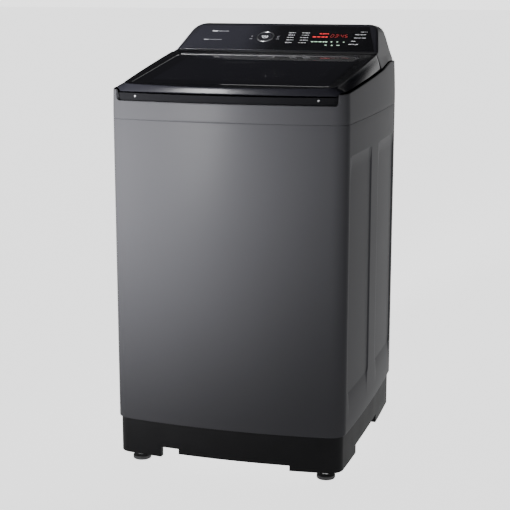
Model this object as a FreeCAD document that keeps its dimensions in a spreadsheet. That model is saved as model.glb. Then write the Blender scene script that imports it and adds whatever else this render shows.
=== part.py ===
import FreeCAD, Part
import math
import os
import re
import Sketcher
from FreeCAD import Vector

# Top load washing machine, in millimetres. X is to the right, Y to the back, Z up from the floor, and
# the origin is on the floor under the middle of the cabinet. A panel or lid that slopes is drawn flat in
# its own body, which is then tilted by its Placement.

SIZES = {
    # cabinet plan
    "cabinet_width": 540, "cabinet_depth": 570, "front_bow": 21, "side_bow": 6.6,
    "front_corner": 36, "rear_corner": 25, "steel": 1.2,
    # heights of the stack
    "base_top": 109, "cabinet_height": 681, "front_ledge": 40, "ridge_rise": 190,
    # pressed side panels
    "press_depth": 2, "press_low": 82, "press_high": 69, "press_corner": 20,
    "press_front": 55, "press_rear": 36, "press_middle": 30, "press_split": 75,
    # base and feet
    "base_inset": 5, "base_wall": 14, "skirt_low": 38, "block_low": 26, "block_width": 122,
    "foot_side": 51, "foot_end": 62, "foot_pad": 21, "foot_stem": 6, "run_gap": 0.05,
    # top cover, inner frame
    "cover_wall": 3, "frame_inset": 9, "deck": 3, "wing_front": 63, "wing_rear": 90, "deck_drop": 7,
    "notch_side": 21, "mouth": 178, "mouth_back": 215,
    # lid
    "lid_front": 75, "lid_back": 130, "lid_margin": 20, "lid_end": 190, "console_face": 169,
    "lid_inset": 9, "lid_top_side": 27, "lid_skin": 4, "lid_side": 30, "glass_side": 48,
    "glass_front": 15, "glass_end": 36, "pane_ledge": 14, "hinge_in": 9.5, "rear_bevel": 5, "hinge_pin": 2.5,
    "hinge_boss": 4.5, "hinge_side": 45, "hinge_width": 14, "trim_side": 54, "trim_width": 13, "trim": 2,
    # console
    "console_gap": 2.5, "panel_rise": 58, "panel_run": 96, "panel": 3, "console_wall": 3,
    "button": 18.2, "ring": 21.6, "ring_x": 38, "ring_up": 60, "key": 5, "key_side": 33, "fit_gap": 0.35,
    "lens_side": 140, "lens_width": 94, "lens_low": 50, "lens_high": 83, "nozzle": 13.2,
    # tub set
    "tub_gap": 34, "tub_shift": 12, "tub_wall": 3, "tub_low": 86, "tub_top_gap": 28,
    "basket_gap": 18, "basket_wall": 1.5, "basket_low": 27, "basket_top_gap": 14, "balance": 43,
    "shaft": 9, "spin_tube": 18, "bearing": 35, "rotor": 130,
    "rod": 4, "rod_side": 65, "rod_end": 75, "spring": 12, "spring_wire": 2, "spring_turns": 9,
    # detergent drawer
    "drawer_x": 90, "drawer_width": 116, "drawer_length": 124, "drawer_depth": 40, "drawer_gap": 1,
    "outlet": 16,
}

doc = FreeCAD.newDocument("washing_machine")
sheet = doc.addObject("Spreadsheet::Sheet", "dims")
for row, (name, size) in enumerate(SIZES.items(), start=1):
    sheet.set(f"A{row}", name)
    sheet.set(f"B{row}", str(size))
    sheet.setAlias(f"B{row}", name)
doc.recompute()

NODES = {}
WORD = re.compile(r"[a-z][a-z_]*")


def ex(text):
    """A size formula with every size name turned into its cell."""
    return WORD.sub(lambda found: f"dims.{found[0]}" if found[0] in SIZES else found[0], str(text))


def value(text):
    return float(sheet.evalExpression(ex(text)))


# Formulas that several sub-parts share.
HALF_W = "(cabinet_width / 2)"
HALF_D = "(cabinet_depth / 2)"
SEAM = "(base_top + cabinet_height)"
FRONT_R = f"((({HALF_W} - side_bow) ^ 2 + front_bow ^ 2) / (2 * front_bow))"
SIDE_R = f"(({HALF_D} ^ 2 + side_bow ^ 2) / (2 * side_bow))"
LID_SLOPE = "((lid_back - lid_front) / (cabinet_depth - lid_margin - console_face))"
WING_SLOPE = "((wing_rear - wing_front) / (cabinet_depth - lid_margin - lid_end))"
LID_TILT = f"atan({LID_SLOPE})"
PANEL_TILT = "atan(panel_rise / panel_run)"
PANEL_UP = "sqrt(panel_rise ^ 2 + panel_run ^ 2)"
PANEL_Y = f"({HALF_D} - console_face)"
PANEL_Z = f"({SEAM} + lid_back)"
LID_REAR = f"({HALF_D} - lid_end)"
HINGE_Y = f"({LID_REAR} - hinge_in)"
TUB_Y = "(-tub_shift)"
TUB_R = "(min(cabinet_width; cabinet_depth) / 2 - tub_gap)"
TUB_LOW = "(base_top + tub_low)"
TUB_TOP = f"({SEAM} - tub_top_gap)"
BASKET_R = f"({TUB_R} - tub_wall - basket_gap)"
BASKET_LOW = f"({TUB_LOW} + basket_low)"
BASKET_TOP = f"({TUB_TOP} - basket_top_gap)"
MOUTH_BACK = f"({HALF_D} - mouth_back)"
CUP_LOW = f"({TUB_LOW} + 123)"
ROD_LOW = f"({TUB_LOW} + 49)"
FAR = 900


def lid_top(y):
    return f"({SEAM} + lid_front + ({y} + {HALF_D} - lid_margin) * {LID_SLOPE})"


def wing_top(y):
    return f"({SEAM} + wing_front + ({y} + {HALF_D} - lid_margin) * {WING_SLOPE})"


HINGE_Z = f"({lid_top(HINGE_Y)} - hinge_in)"


# ---------------------------------------------------------------- sketches and features

def new_body(label, at=(0, 0, 0), tilt=None):
    body = doc.addObject("PartDesign::Body", label)
    body.Label = label
    if tilt is not None:
        body.Placement.Rotation = FreeCAD.Rotation(Vector(1, 0, 0), value(tilt))
        body.setExpression("Placement.Rotation.Angle", ex(tilt))
    for axis, place in zip("xyz", at):
        if place != 0:
            body.setExpression(f"Placement.Base.{axis}", ex(place))
    return body


def sketch_on(body, plane, offset=0):
    """A sketch on one of the body's origin planes, moved along that plane's normal."""
    sketch = body.newObject("Sketcher::SketchObject", f"{body.Name}_sketch")
    origin_plane = [item for item in body.Origin.OriginFeatures if item.Role == plane][0]
    sketch.AttachmentSupport = [(origin_plane, "")]
    sketch.MapMode = "FlatFace"
    if offset != 0:
        sketch.setExpression("AttachmentOffset.Base.z", ex(offset))
    return sketch


def bind(sketch, kind, *where, size):
    index = sketch.addConstraint(Sketcher.Constraint(kind, *where, value(size)))
    sketch.setExpression(f"Constraints[{index}]", ex(size))


def polygon(sketch, corners):
    spots = [Vector(value(x), value(y), 0) for x, y in corners]
    first = sketch.GeometryCount
    count = len(spots)
    for i, spot in enumerate(spots):
        sketch.addGeometry(Part.LineSegment(spot, spots[(i + 1) % count]), False)
    for i in range(count):
        following = first + (i + 1) % count
        sketch.addConstraint(Sketcher.Constraint("Coincident", first + i, 2, following, 1))
    for i, (x, y) in enumerate(corners):
        bind(sketch, "DistanceX", first + i, 1, size=x)
        bind(sketch, "DistanceY", first + i, 1, size=y)
    return sketch


def circle(sketch, radius, x=0, y=0):
    spot = Vector(value(x), value(y), 0)
    index = sketch.addGeometry(Part.Circle(spot, Vector(0, 0, 1), value(radius)), False)
    bind(sketch, "Radius", index, size=radius)
    bind(sketch, "DistanceX", index, 3, size=x)
    bind(sketch, "DistanceY", index, 3, size=y)
    return sketch


def arc(sketch, centre, radius, start, end):
    """An arc from one point to another, anticlockwise round its centre."""
    turned = [math.atan2(spot.y - centre.y, spot.x - centre.x) for spot in (start, end)]
    round_edge = Part.Circle(centre, Vector(0, 0, 1), radius)
    index = sketch.addGeometry(Part.ArcOfCircle(round_edge, turned[0], turned[1]), False)
    return index


def tangent_ring(sketch, pieces):
    """Join each piece's end to the next one's start, smoothly."""
    for piece, following in zip(pieces, pieces[1:] + pieces[:1]):
        sketch.addConstraint(Sketcher.Constraint("Tangent", piece, 2, following, 1))


def rounded_rectangle(sketch, low_x, high_x, low_y, high_y, radius):
    x0, x1, y0, y1, r = (value(size) for size in (low_x, high_x, low_y, high_y, radius))
    left, right = f"{low_x} + ({radius})", f"{high_x} - ({radius})"
    lower, upper = f"{low_y} + ({radius})", f"{high_y} - ({radius})"
    inner = ((right, lower), (right, upper), (left, upper), (left, lower))
    sides = ((x0 + r, y0, x1 - r, y0), (x1, y0 + r, x1, y1 - r), (x1 - r, y1, x0 + r, y1),
             (x0, y1 - r, x0, y0 + r))
    pieces = []
    for i, (x, y) in enumerate(inner):
        side, following = sides[i], sides[(i + 1) % 4]
        start, end = Vector(side[0], side[1], 0), Vector(side[2], side[3], 0)
        pieces.append(sketch.addGeometry(Part.LineSegment(start, end), False))
        centre = Vector(value(x), value(y), 0)
        pieces.append(arc(sketch, centre, r, end, Vector(following[0], following[1], 0)))
        bind(sketch, "Radius", pieces[-1], size=radius)
        bind(sketch, "DistanceX", pieces[-1], 3, size=x)
        bind(sketch, "DistanceY", pieces[-1], 3, size=y)
    tangent_ring(sketch, pieces)
    return sketch


def plan_outline(sketch, inset=0):
    """The cabinet's plan: bowed front and sides, flat back and rounded corners, moved inwards by inset."""
    sizes = (FRONT_R, SIDE_R, "front_corner", "rear_corner")
    front_r, side_r, front_c, rear_c = (value(size) for size in sizes)
    shrink, half_w, half_d = value(inset), value(HALF_W), value(HALF_D)
    front = Vector(0, front_r - half_d, 0)
    side = Vector(half_w - side_r, 0, 0)
    # the corner's centre is where two circles round the big arcs' centres cross
    gap = side - front
    reach, near, far = gap.Length, front_r - front_c, side_r - front_c
    along = (reach ** 2 + near ** 2 - far ** 2) / (2 * reach)
    away = math.sqrt(near ** 2 - along ** 2)
    unit = gap.normalize()
    corner = front + unit * along + Vector(unit.y, -unit.x, 0) * away
    if corner.x < 0:
        corner = front + unit * along - Vector(unit.y, -unit.x, 0) * away
    back_y = half_d - rear_c
    back = Vector(side.x + math.sqrt((side_r - rear_c) ** 2 - back_y ** 2), back_y, 0)

    def towards(centre, through, radius):
        return centre + (through - centre).normalize() * (radius - shrink)

    def flip(spot):
        return Vector(-spot.x, spot.y, 0)

    on_front = towards(front, Vector(corner.x, corner.y, 0), front_r)
    on_side = towards(side, Vector(corner.x, corner.y, 0), side_r)
    side_back = towards(side, Vector(back.x, back.y, 0), side_r)
    on_back = Vector(back.x, half_d - shrink, 0)
    pieces = [
        arc(sketch, front, front_r - shrink, flip(on_front), on_front),
        arc(sketch, corner, front_c - shrink, on_front, on_side),
        arc(sketch, side, side_r - shrink, on_side, side_back),
        arc(sketch, back, rear_c - shrink, side_back, on_back),
        sketch.addGeometry(Part.LineSegment(on_back, flip(on_back)), False),
        arc(sketch, flip(back), rear_c - shrink, flip(on_back), flip(side_back)),
        arc(sketch, flip(side), side_r - shrink, flip(side_back), flip(on_side)),
        arc(sketch, flip(corner), front_c - shrink, flip(on_side), flip(on_front)),
    ]
    tangent_ring(sketch, pieces)
    radii = {0: FRONT_R, 1: "front_corner", 2: SIDE_R, 3: "rear_corner", 5: "rear_corner", 6: SIDE_R,
             7: "front_corner"}
    for index, radius in radii.items():
        bind(sketch, "Radius", pieces[index], size=f"{radius} - ({inset})")
    bind(sketch, "DistanceX", pieces[0], 3, size="0")
    bind(sketch, "DistanceY", pieces[0], 3, size=f"{FRONT_R} - {HALF_D}")
    bind(sketch, "DistanceX", pieces[2], 3, size=f"{HALF_W} - {SIDE_R}")
    bind(sketch, "DistanceY", pieces[2], 3, size="0")
    bind(sketch, "DistanceX", pieces[6], 3, size=f"{SIDE_R} - {HALF_W}")
    bind(sketch, "DistanceY", pieces[6], 3, size="0")
    sketch.addConstraint(Sketcher.Constraint("Horizontal", pieces[4]))
    bind(sketch, "DistanceY", pieces[4], 1, size=f"{HALF_D} - ({inset})")
    return sketch


def feature(body, kind, sketch, length, symmetric):
    item = body.newObject(f"PartDesign::{kind}", f"{body.Name}_{kind.lower()}")
    item.Profile = sketch
    item.setExpression("Length", ex(length))
    if symmetric:
        item.SideType = "Symmetric"
    return item


def pad(body, sketch, length, symmetric=False):
    return feature(body, "Pad", sketch, length, symmetric)


def pocket(body, sketch, length, symmetric=False):
    """Cut against the sketch plane's normal, and make sure that something was cut."""
    doc.recompute()
    before = body.Shape.Volume
    item = feature(body, "Pocket", sketch, length, symmetric)
    doc.recompute()
    if body.Shape.Volume > before - 1:
        raise ValueError(f"{body.Label}: a pocket cuts nothing")
    return item


def lathe(label, profile, at=(0, 0, 0)):
    """A turned piece: the profile's corners are (radius, height)."""
    body = new_body(label, at)
    sketch = polygon(sketch_on(body, "XZ_Plane"), profile)
    turn = body.newObject("PartDesign::Revolution", f"{label}_turn")
    turn.Profile = sketch
    turn.ReferenceAxis = (sketch, ["V_Axis"])
    turn.Angle = 360
    return body


def ring_profile(inner, outer, low, high):
    return [(inner, low), (outer, low), (outer, high), (inner, high)]


def prism(label, low, high, inset, bore_inset=None):
    """The plan outline as a block or, with bore_inset, as a wall."""
    body = new_body(label)
    sketch = plan_outline(sketch_on(body, "XY_Plane", low), inset)
    if bore_inset is not None:
        plan_outline(sketch, bore_inset)
    pad(body, sketch, f"{high} - ({low})")
    return body


def side_profile(label, corners, half_width=FAR):
    """A block across the machine, drawn from the side: corners are (y, z)."""
    body = new_body(label)
    pad(body, polygon(sketch_on(body, "YZ_Plane"), corners), f"2 * ({half_width})", symmetric=True)
    return body


def box(label, low, high, at=(0, 0, 0), tilt=None, radius=None):
    """A block between two corners, with rounded upright edges where a radius is given."""
    body = new_body(label, at, tilt)
    sketch = sketch_on(body, "XY_Plane", low[2])
    if radius is None:
        polygon(sketch, [(low[0], low[1]), (high[0], low[1]), (high[0], high[1]), (low[0], high[1])])
    else:
        rounded_rectangle(sketch, low[0], high[0], low[1], high[1], radius)
    pad(body, sketch, f"{high[2]} - ({low[2]})")
    return body


def rod_along_y(label, radius, x, z, low_y, high_y, bore=None):
    body = new_body(label)
    sketch = circle(sketch_on(body, "XZ_Plane", f"-({high_y})"), radius, x, z)
    if bore is not None:
        circle(sketch, bore, x, z)
    pad(body, sketch, f"{high_y} - ({low_y})")
    return body


def boolean(kind, label, base, tool):
    item = doc.addObject(f"Part::{kind}", label)
    item.Label = label
    item.Base = base
    item.Tool = tool
    return item


def cut(label, base, tool):
    return boolean("Cut", label, base, tool)


def common(label, base, tool):
    return boolean("Common", label, base, tool)


def fuse(label, shapes):
    item = doc.addObject("Part::MultiFuse", label)
    item.Label = label
    item.Shapes = shapes
    return item


def group(label, shapes):
    item = doc.addObject("Part::Compound", label)
    item.Label = label
    item.Links = shapes
    return item


def node(name, item):
    item.Label = name
    NODES[name] = item
    return item


# ---------------------------------------------------------------- cabinet, base and feet

OUTLET_X, OUTLET_Z = f"{HALF_W} - 115", "76"
CORNERS = [("front_left", -1, -1), ("front_right", 1, -1), ("rear_left", -1, 1), ("rear_right", 1, 1)]


def press_blocks(label, grow):
    """Four rounded blocks through the sides, where the steel is pressed in."""
    low, high = f"base_top + press_low - {grow}", f"{SEAM} - press_high + {grow}"
    spans = [(f"-{HALF_D} + press_front - {grow}", f"-press_middle + {grow}"),
             (f"press_split - press_middle - {grow}", f"{HALF_D} - press_rear + {grow}")]
    blocks = []
    for i, (front, back) in enumerate(spans):
        for side, name in ((-1, "left"), (1, "right")):
            body = new_body(f"{label}_{name}_{i}")
            offset = f"{HALF_W} - 30" if side > 0 else f"-{HALF_W} - 10"
            sketch = sketch_on(body, "YZ_Plane", offset)
            rounded_rectangle(sketch, front, back, low, high, f"press_corner + {grow}")
            pad(body, sketch, "40")
            blocks.append(body)
    return fuse(label, blocks)


def cabinet_shell():
    wall = prism("cabinet_wall", "base_top", SEAM, "0", "steel")
    outer_skin = prism("press_outer_skin", "base_top", SEAM, "0", "press_depth")
    inner_skin = prism("press_inner_skin", "base_top", SEAM, "steel", "steel + press_depth")
    pressed = cut("wall_pressed", wall, common("press_outer", press_blocks("press_in", "0"), outer_skin))
    backed = fuse("wall_backed", [pressed, common("press_inner", press_blocks("press_back", "steel"),
                                                  inner_skin)])
    doorway = box("rear_doorway", (f"45 - {HALF_W}", f"{HALF_D} - 12", "base_top - 5"),
                  (f"{HALF_W} - 45", f"{HALF_D} + 5", f"{SEAM} + 5"))
    return cut("cabinet_shell", backed, fuse("shell_openings", [doorway] + rear_screw_row("screw_hole")))


def rear_panel():
    return box("rear_panel", (f"36 - {HALF_W}", f"{HALF_D} - 2 * steel", "base_top"),
               (f"{HALF_W} - 36", f"{HALF_D} - steel", SEAM))


def rear_screw_row(label):
    heads = []
    for side in (-1, 1):
        for i, height in enumerate(("base_top + 40", f"(base_top + {SEAM}) / 2", f"{SEAM} - 40")):
            x = f"{side} * ({HALF_W} - 40.5)"
            name = f"{label}_{i}_{'left' if side < 0 else 'right'}"
            heads.append(rod_along_y(name, "3.2", x, height, f"{HALF_D} - steel", HALF_D))
    return heads


def base_frame():
    """The plastic base: a ring with deep corner blocks, a raised skirt and four sockets for the feet."""
    wall = prism("base_wall_ring", "block_low", "base_top", "base_inset", "base_inset + base_wall")
    gap_w = f"{HALF_W} - block_width"
    front_gap = box("base_front_gap", (f"-({gap_w})", f"-{HALF_D} - 5", 0), (gap_w, f"60 - {HALF_D}",
                                                                             "skirt_low"))
    back_gap = box("base_back_gap", (f"-({gap_w})", f"{HALF_D} - 60", 0), (gap_w, f"{HALF_D} + 5",
                                                                           "skirt_low + 8"))
    side_gap = box("base_side_gap", (f"-{HALF_W} - 5", f"165 - {HALF_D}", 0),
                   (f"{HALF_W} + 5", f"{HALF_D} - 185", "skirt_low + 8"))
    hand_gap = box("base_hand_gap", (f"-({gap_w}) - 5", f"-{HALF_D} - 5", 0),
                   (f"38 - ({gap_w})", f"60 - {HALF_D}", "skirt_low + 12"))
    sockets = []
    for name, sx, sy in CORNERS:
        x, y = f"{sx} * ({HALF_W} - foot_side)", f"{sy} * ({HALF_D} - foot_end)"
        body = new_body(f"foot_socket_{name}", (x, y, 0))
        pad(body, circle(sketch_on(body, "XY_Plane", "block_low"), "foot_pad + 5"), "26")
        sockets.append(body)
        ends = [f"{HALF_D} - foot_end", f"{HALF_D} - base_inset - base_wall / 2"]
        web_low, web_high = ends if sy > 0 else [f"-({end})" for end in reversed(ends)]
        web = box(f"foot_web_{name}", (f"{x} - 12", web_low, "block_low"), (f"{x} + 12", web_high,
                                                                            "block_low + 26"))
        sockets.append(web)
    solid = wall
    for gap in (front_gap, back_gap, side_gap, hand_gap):
        solid = cut(f"base_less_{gap.Label}", solid, gap)
    reach = prism("socket_reach", "block_low", "base_top", "base_inset + 1")
    solid = fuse("base_with_sockets", [solid, common("base_sockets", fuse("base_socket_set", sockets),
                                                     reach)])
    bores = []
    for name, sx, sy in CORNERS:
        bore = new_body(f"foot_bore_{name}", (f"{sx} * ({HALF_W} - foot_side)",
                                              f"{sy} * ({HALF_D} - foot_end)", 0))
        pad(bore, circle(sketch_on(bore, "XY_Plane"), "foot_stem + run_gap"), "base_top")
        bores.append(bore)
    bores.append(rod_along_y("outlet_hole", "outlet + 8", OUTLET_X, OUTLET_Z, f"{HALF_D} - 60",
                             f"{HALF_D} + 5"))
    return cut("base_frame", solid, fuse("base_holes", bores))


def foot(name, sx, sy):
    """Rubber pad, hexagon flange and stem, turned in one piece."""
    profile = [(0, 0), ("foot_pad - 3", 0), ("foot_pad", 3), ("foot_pad", 9), ("foot_pad - 6", 11),
               ("11", 11), ("11", 19), ("foot_stem", 19), ("foot_stem", "block_low + 34"), (0,
                                                                                            "block_low + 34")]
    return lathe(f"foot_{name}", profile, (f"{sx} * ({HALF_W} - foot_side)",
                                           f"{sy} * ({HALF_D} - foot_end)", 0))


# ---------------------------------------------------------------- top cover and inner frame

def top_cover():
    """Body-coloured cover: low ledge in front, wings that rise to the back."""
    wall = prism("cover_wall_ring", SEAM, f"{SEAM} + 110", "0", "cover_wall")
    front, back = f"-{HALF_D} - 20", f"{HALF_D} + 20"
    above = side_profile("above_wings", [
        (front, wing_top(front)), (LID_REAR, wing_top(LID_REAR)), (f"{HALF_D} - 85", f"{SEAM} + 103.5"),
        (back, f"{SEAM} + 104"), (back, f"{SEAM} + 150"), (front, f"{SEAM} + 150")])
    notch = new_body("front_notch")
    sketch = sketch_on(notch, "XZ_Plane", f"{HALF_D} - 60")
    side = f"{HALF_W} - notch_side"
    rounded_rectangle(sketch, f"-({side})", side, f"{SEAM} + front_ledge", f"{SEAM} + 160", "8")
    pad(notch, sketch, "80")
    ledge = common("ledge_front", prism("ledge_ring", f"{SEAM} + front_ledge - cover_wall",
                                        f"{SEAM} + front_ledge",
                                        "1", "frame_inset - 0.3"),
                   box("ledge_reach", (f"-({side})", f"-{HALF_D} - 5", SEAM), (side, f"60 - {HALF_D}",
                                                                               f"{SEAM} + 90")))
    open_wall = cut("cover_open", cut("cover_below_wings", wall, above), notch)
    hatch = box("cover_hatch", (f"30 - {HALF_W}", f"{HALF_D} - 12", f"{SEAM} + 96"),
                (f"{HALF_W} - 30", f"{HALF_D} + 5", f"{SEAM} + 150"))
    return cut("top_cover", fuse("cover_with_ledge", [open_wall, ledge]), hatch)


def deck_line(y, drop="0"):
    return (y, f"{wing_top(y)} - deck_drop - ({drop})")


def inner_frame():
    """Black deck under the lid: front wall, sloping deck, round mouth with a straight back."""
    floor = f"{SEAM} + front_ledge - 4"
    front, back = f"-{HALF_D} - 20", f"{HALF_D} + 20"
    over = common("deck_block", prism("deck_plan", floor, f"{SEAM} + 150", "frame_inset"),
                  side_profile("deck_side", [(front, floor), (back, floor), deck_line(back),
                                             deck_line(front)]))
    under = common("deck_under_block", prism("deck_under_plan", f"{floor} - 5", f"{SEAM} + 150",
                                             "frame_inset + deck"),
                   side_profile("deck_under_side", [(front, f"{floor} - 5"), (back, f"{floor} - 5"),
                                                    deck_line(back, "deck"), deck_line(front, "deck")]))
    shell = cut("deck_shell", over, under)
    low = f"{SEAM} + 8"
    tube = new_body("mouth_tube", (0, TUB_Y, 0))
    pad(tube, circle(sketch_on(tube, "XY_Plane", low), "mouth + deck"), "90")
    tube_back = box("mouth_tube_back", (f"-{FAR}", f"-{FAR}", SEAM), (FAR, f"{MOUTH_BACK} + deck",
                                                                      f"{SEAM} + 150"))
    tube_top = side_profile("mouth_tube_top", [(front, SEAM), (back, SEAM), deck_line(back),
                                               deck_line(front)])
    mouth = new_body("mouth_hole", (0, TUB_Y, 0))
    pad(mouth, circle(sketch_on(mouth, "XY_Plane", SEAM), "mouth"), "150")
    mouth_back = box("mouth_hole_back", (f"-{FAR}", f"-{FAR}", SEAM), (FAR, MOUTH_BACK, f"{SEAM} + 150"))
    funnel = common("funnel_cut_top", common("funnel_cut_back", tube, tube_back), tube_top)
    body = cut("frame_open", fuse("frame_and_funnel", [shell, funnel]), common("mouth_open", mouth,
                                                                               mouth_back))
    half = "drawer_width / 2 + drawer_gap"
    slot = box("drawer_slot", (f"-drawer_x - ({half})", f"{MOUTH_BACK} - 3", f"{SEAM} + 25"),
               (f"-drawer_x + {half}", f"{MOUTH_BACK} + 8", f"{SEAM} + 26 + drawer_depth + drawer_gap"))
    return cut("inner_frame", body, slot)


def front_caps():
    """Two caps over the cover's front screws."""
    caps = []
    for side, name in ((-1, "left"), (1, "right")):
        x = f"{side} * ({HALF_W} - 66)"
        y = f"{FRONT_R} - {HALF_D} - sqrt(({FRONT_R} - frame_inset) ^ 2 - ({HALF_W} - 66) ^ 2)"
        caps.append(rod_along_y(f"front_cap_{name}", "4", x, f"{SEAM} + 50", f"{y} - 1.5", f"{y} + 1"))
    return group("front_caps", caps)


def hinge_posts():
    """Two posts on the deck, with the bores that the lid's pins turn in."""
    posts = []
    for side, name in ((-1, "left"), (1, "right")):
        body = new_body(f"hinge_post_{name}")
        sketch = sketch_on(body, "YZ_Plane", f"{side} * ({HALF_W} - hinge_side)")
        polygon(sketch, [deck_line(f"({HINGE_Y} - hinge_boss)"), deck_line(f"({HINGE_Y} + hinge_boss)"),
                         (f"{HINGE_Y} + hinge_boss", HINGE_Z), (f"{HINGE_Y} - hinge_boss", HINGE_Z)])
        pad(body, sketch, "hinge_width", symmetric=True)
        knuckle = new_body(f"hinge_knuckle_{name}")
        sketch = sketch_on(knuckle, "YZ_Plane", f"{side} * ({HALF_W} - hinge_side)")
        pad(knuckle, circle(sketch, "hinge_boss", HINGE_Y, HINGE_Z), "hinge_width", symmetric=True)
        bore = new_body(f"hinge_bore_{name}")
        sketch = sketch_on(bore, "YZ_Plane", f"{side} * ({HALF_W} - hinge_side)")
        pad(bore, circle(sketch, "hinge_pin + run_gap", HINGE_Y, HINGE_Z), "hinge_width + 4", symmetric=True)
        posts.append(cut(f"hinge_bored_{name}", fuse(f"hinge_whole_{name}", [body, knuckle]), bore))
    return group("hinge_posts", posts)


# ---------------------------------------------------------------- lid

LID_ORIGIN = (0, f"lid_margin - {HALF_D}", f"{SEAM} + lid_front")
GLASS_END = f"((cabinet_depth - lid_margin - lid_end - glass_end) / cos({LID_TILT}))"


def lid_plane(label, half_width, front, back, low, high, radius):
    """A rounded block in the lid's own plane, measured from its top surface at the front line."""
    return box(label, (f"-({half_width})", front, low), (half_width, back, high), LID_ORIGIN, LID_TILT,
               radius)


def across(label, radius, low_x, high_x, y, z):
    """A cylinder along X."""
    body = new_body(label)
    pad(body, circle(sketch_on(body, "YZ_Plane", low_x), radius, y, z), f"{high_x} - ({low_x})")
    return body


def lid_outside():
    front, low = f"(-{HALF_D} - 20)", f"{SEAM} + wing_front - 10"
    bevelled = f"({LID_REAR} - rear_bevel)"
    side_view = [(front, f"{wing_top(front)} + 1.5"), (LID_REAR, f"{wing_top(LID_REAR)} + 1.5"),
                 (LID_REAR, f"{lid_top(LID_REAR)} - rear_bevel"), (bevelled, lid_top(bevelled)),
                 (front, lid_top(front))]
    wedge = common("lid_block", prism("lid_plan", low, f"{SEAM} + 150", "lid_inset"),
                   side_profile("lid_side_view", side_view))
    slants = []
    for side, name in ((-1, "left"), (1, "right")):
        body = new_body(f"lid_slant_{name}", LID_ORIGIN, LID_TILT)
        top, out = f"{side} * ({HALF_W} - lid_top_side)", f"{side} * ({HALF_W} - lid_inset + 1)"
        far = side * FAR
        outline = [(top, "0"), (out, "-16"), (far, "-16"), (far, "60"), (top, "60")]
        pad(body, polygon(sketch_on(body, "XZ_Plane"), outline), 2 * FAR, symmetric=True)
        slants.append(body)
    lip_side = f"{HALF_W} - notch_side - 3"
    lip = common("lid_lip", prism("lid_lip_ring", f"{SEAM} + wing_front - 4", f"{SEAM} + lid_front - 4",
                                  "lid_inset", "lid_inset + 5"),
                 box("lid_lip_reach", (f"-({lip_side})", f"-{HALF_D} - 5", SEAM),
                     (lip_side, f"60 - {HALF_D}", f"{SEAM} + 150")))
    return fuse("lid_with_lip", [cut("lid_slanted", wedge, fuse("lid_slants", slants)), lip])


def lid_frame():
    front, wall_y, floor = f"(-{HALF_D} - 20)", f"({LID_REAR} - 3)", f"{SEAM} + 20"
    skin = f"lid_skin / cos({LID_TILT})"
    hollow_view = [(front, floor), (wall_y, floor), (wall_y, f"{lid_top(wall_y)} - {skin}"),
                   (front, f"{lid_top(front)} - {skin}")]
    hollow = common("lid_hollow", prism("lid_hollow_plan", floor, f"{SEAM} + 150", "lid_inset + 6"),
                    side_profile("lid_hollow_side", hollow_view, f"{HALF_W} - lid_side"))
    window = lid_plane("lid_window", f"{HALF_W} - glass_side + fit_gap", "glass_front - fit_gap",
                       f"{GLASS_END} + fit_gap", "-60", "30", "14 + fit_gap")
    tools = [hollow, window]
    for side, name in ((-1, "left"), (1, "right")):
        middle = f"{side} * ({HALF_W} - hinge_side)"
        tools.append(box(f"lid_notch_{name}", (f"{middle} - hinge_width / 2 - 1", f"{LID_REAR} - 4", floor),
                         (f"{middle} + hinge_width / 2 + 1", f"{LID_REAR} + 5",
                          f"{HINGE_Z} + hinge_boss + 0.8")))
        inner, outer = f"{HALF_W} - 40", f"{HALF_W} - 21"
        low_x, high_x = (inner, outer) if side > 0 else (f"-({outer})", f"-({inner})")
        tools.append(across(f"pin_seat_{name}", "hinge_pin", low_x, high_x, HINGE_Y, HINGE_Z))
    tools.append(rod_along_y("bolt_window", "6", f"{HALF_W} - 95", f"{HINGE_Z} - 16", wall_y + " - 2",
                             f"{LID_REAR} + 2"))
    return cut("lid_frame", lid_outside(), fuse("lid_cuts", tools))


def lid_glass():
    return lid_plane("lid_glass", f"{HALF_W} - glass_side", "glass_front", GLASS_END, "-lid_skin", "0", "14")


def lid_inner_frame():
    """Ring under the lid that carries the glass."""
    ring = lid_plane("inner_ring", f"{HALF_W} - lid_side - 2", "glass_front - 4", f"{GLASS_END} + 8",
                     "-lid_skin - 4", "-lid_skin", "10")
    hole = lid_plane("inner_hole", f"{HALF_W} - glass_side - pane_ledge", "glass_front + pane_ledge",
                     f"{GLASS_END} - pane_ledge", "-60", "30", "10")
    return cut("lid_inner_frame", ring, hole)


def lid_trim_bar():
    return lid_plane("lid_trim_bar", f"{HALF_W} - trim_side", f"{GLASS_END} + 2",
                     f"{GLASS_END} + 2 + trim_width",
                     0, "trim", "2")


def lid_hinge_pins():
    inner, outer = f"{HALF_W} - hinge_side - hinge_width / 2 - 3", f"{HALF_W} - 21"
    return group("lid_hinge_pins", [
        across("hinge_pin_left", "hinge_pin", f"-({outer})", f"-({inner})", HINGE_Y, HINGE_Z),
        across("hinge_pin_right", "hinge_pin", inner, outer, HINGE_Y, HINGE_Z)])


# ---------------------------------------------------------------- console

PANEL_ORIGIN = (0, PANEL_Y, PANEL_Z)


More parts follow.
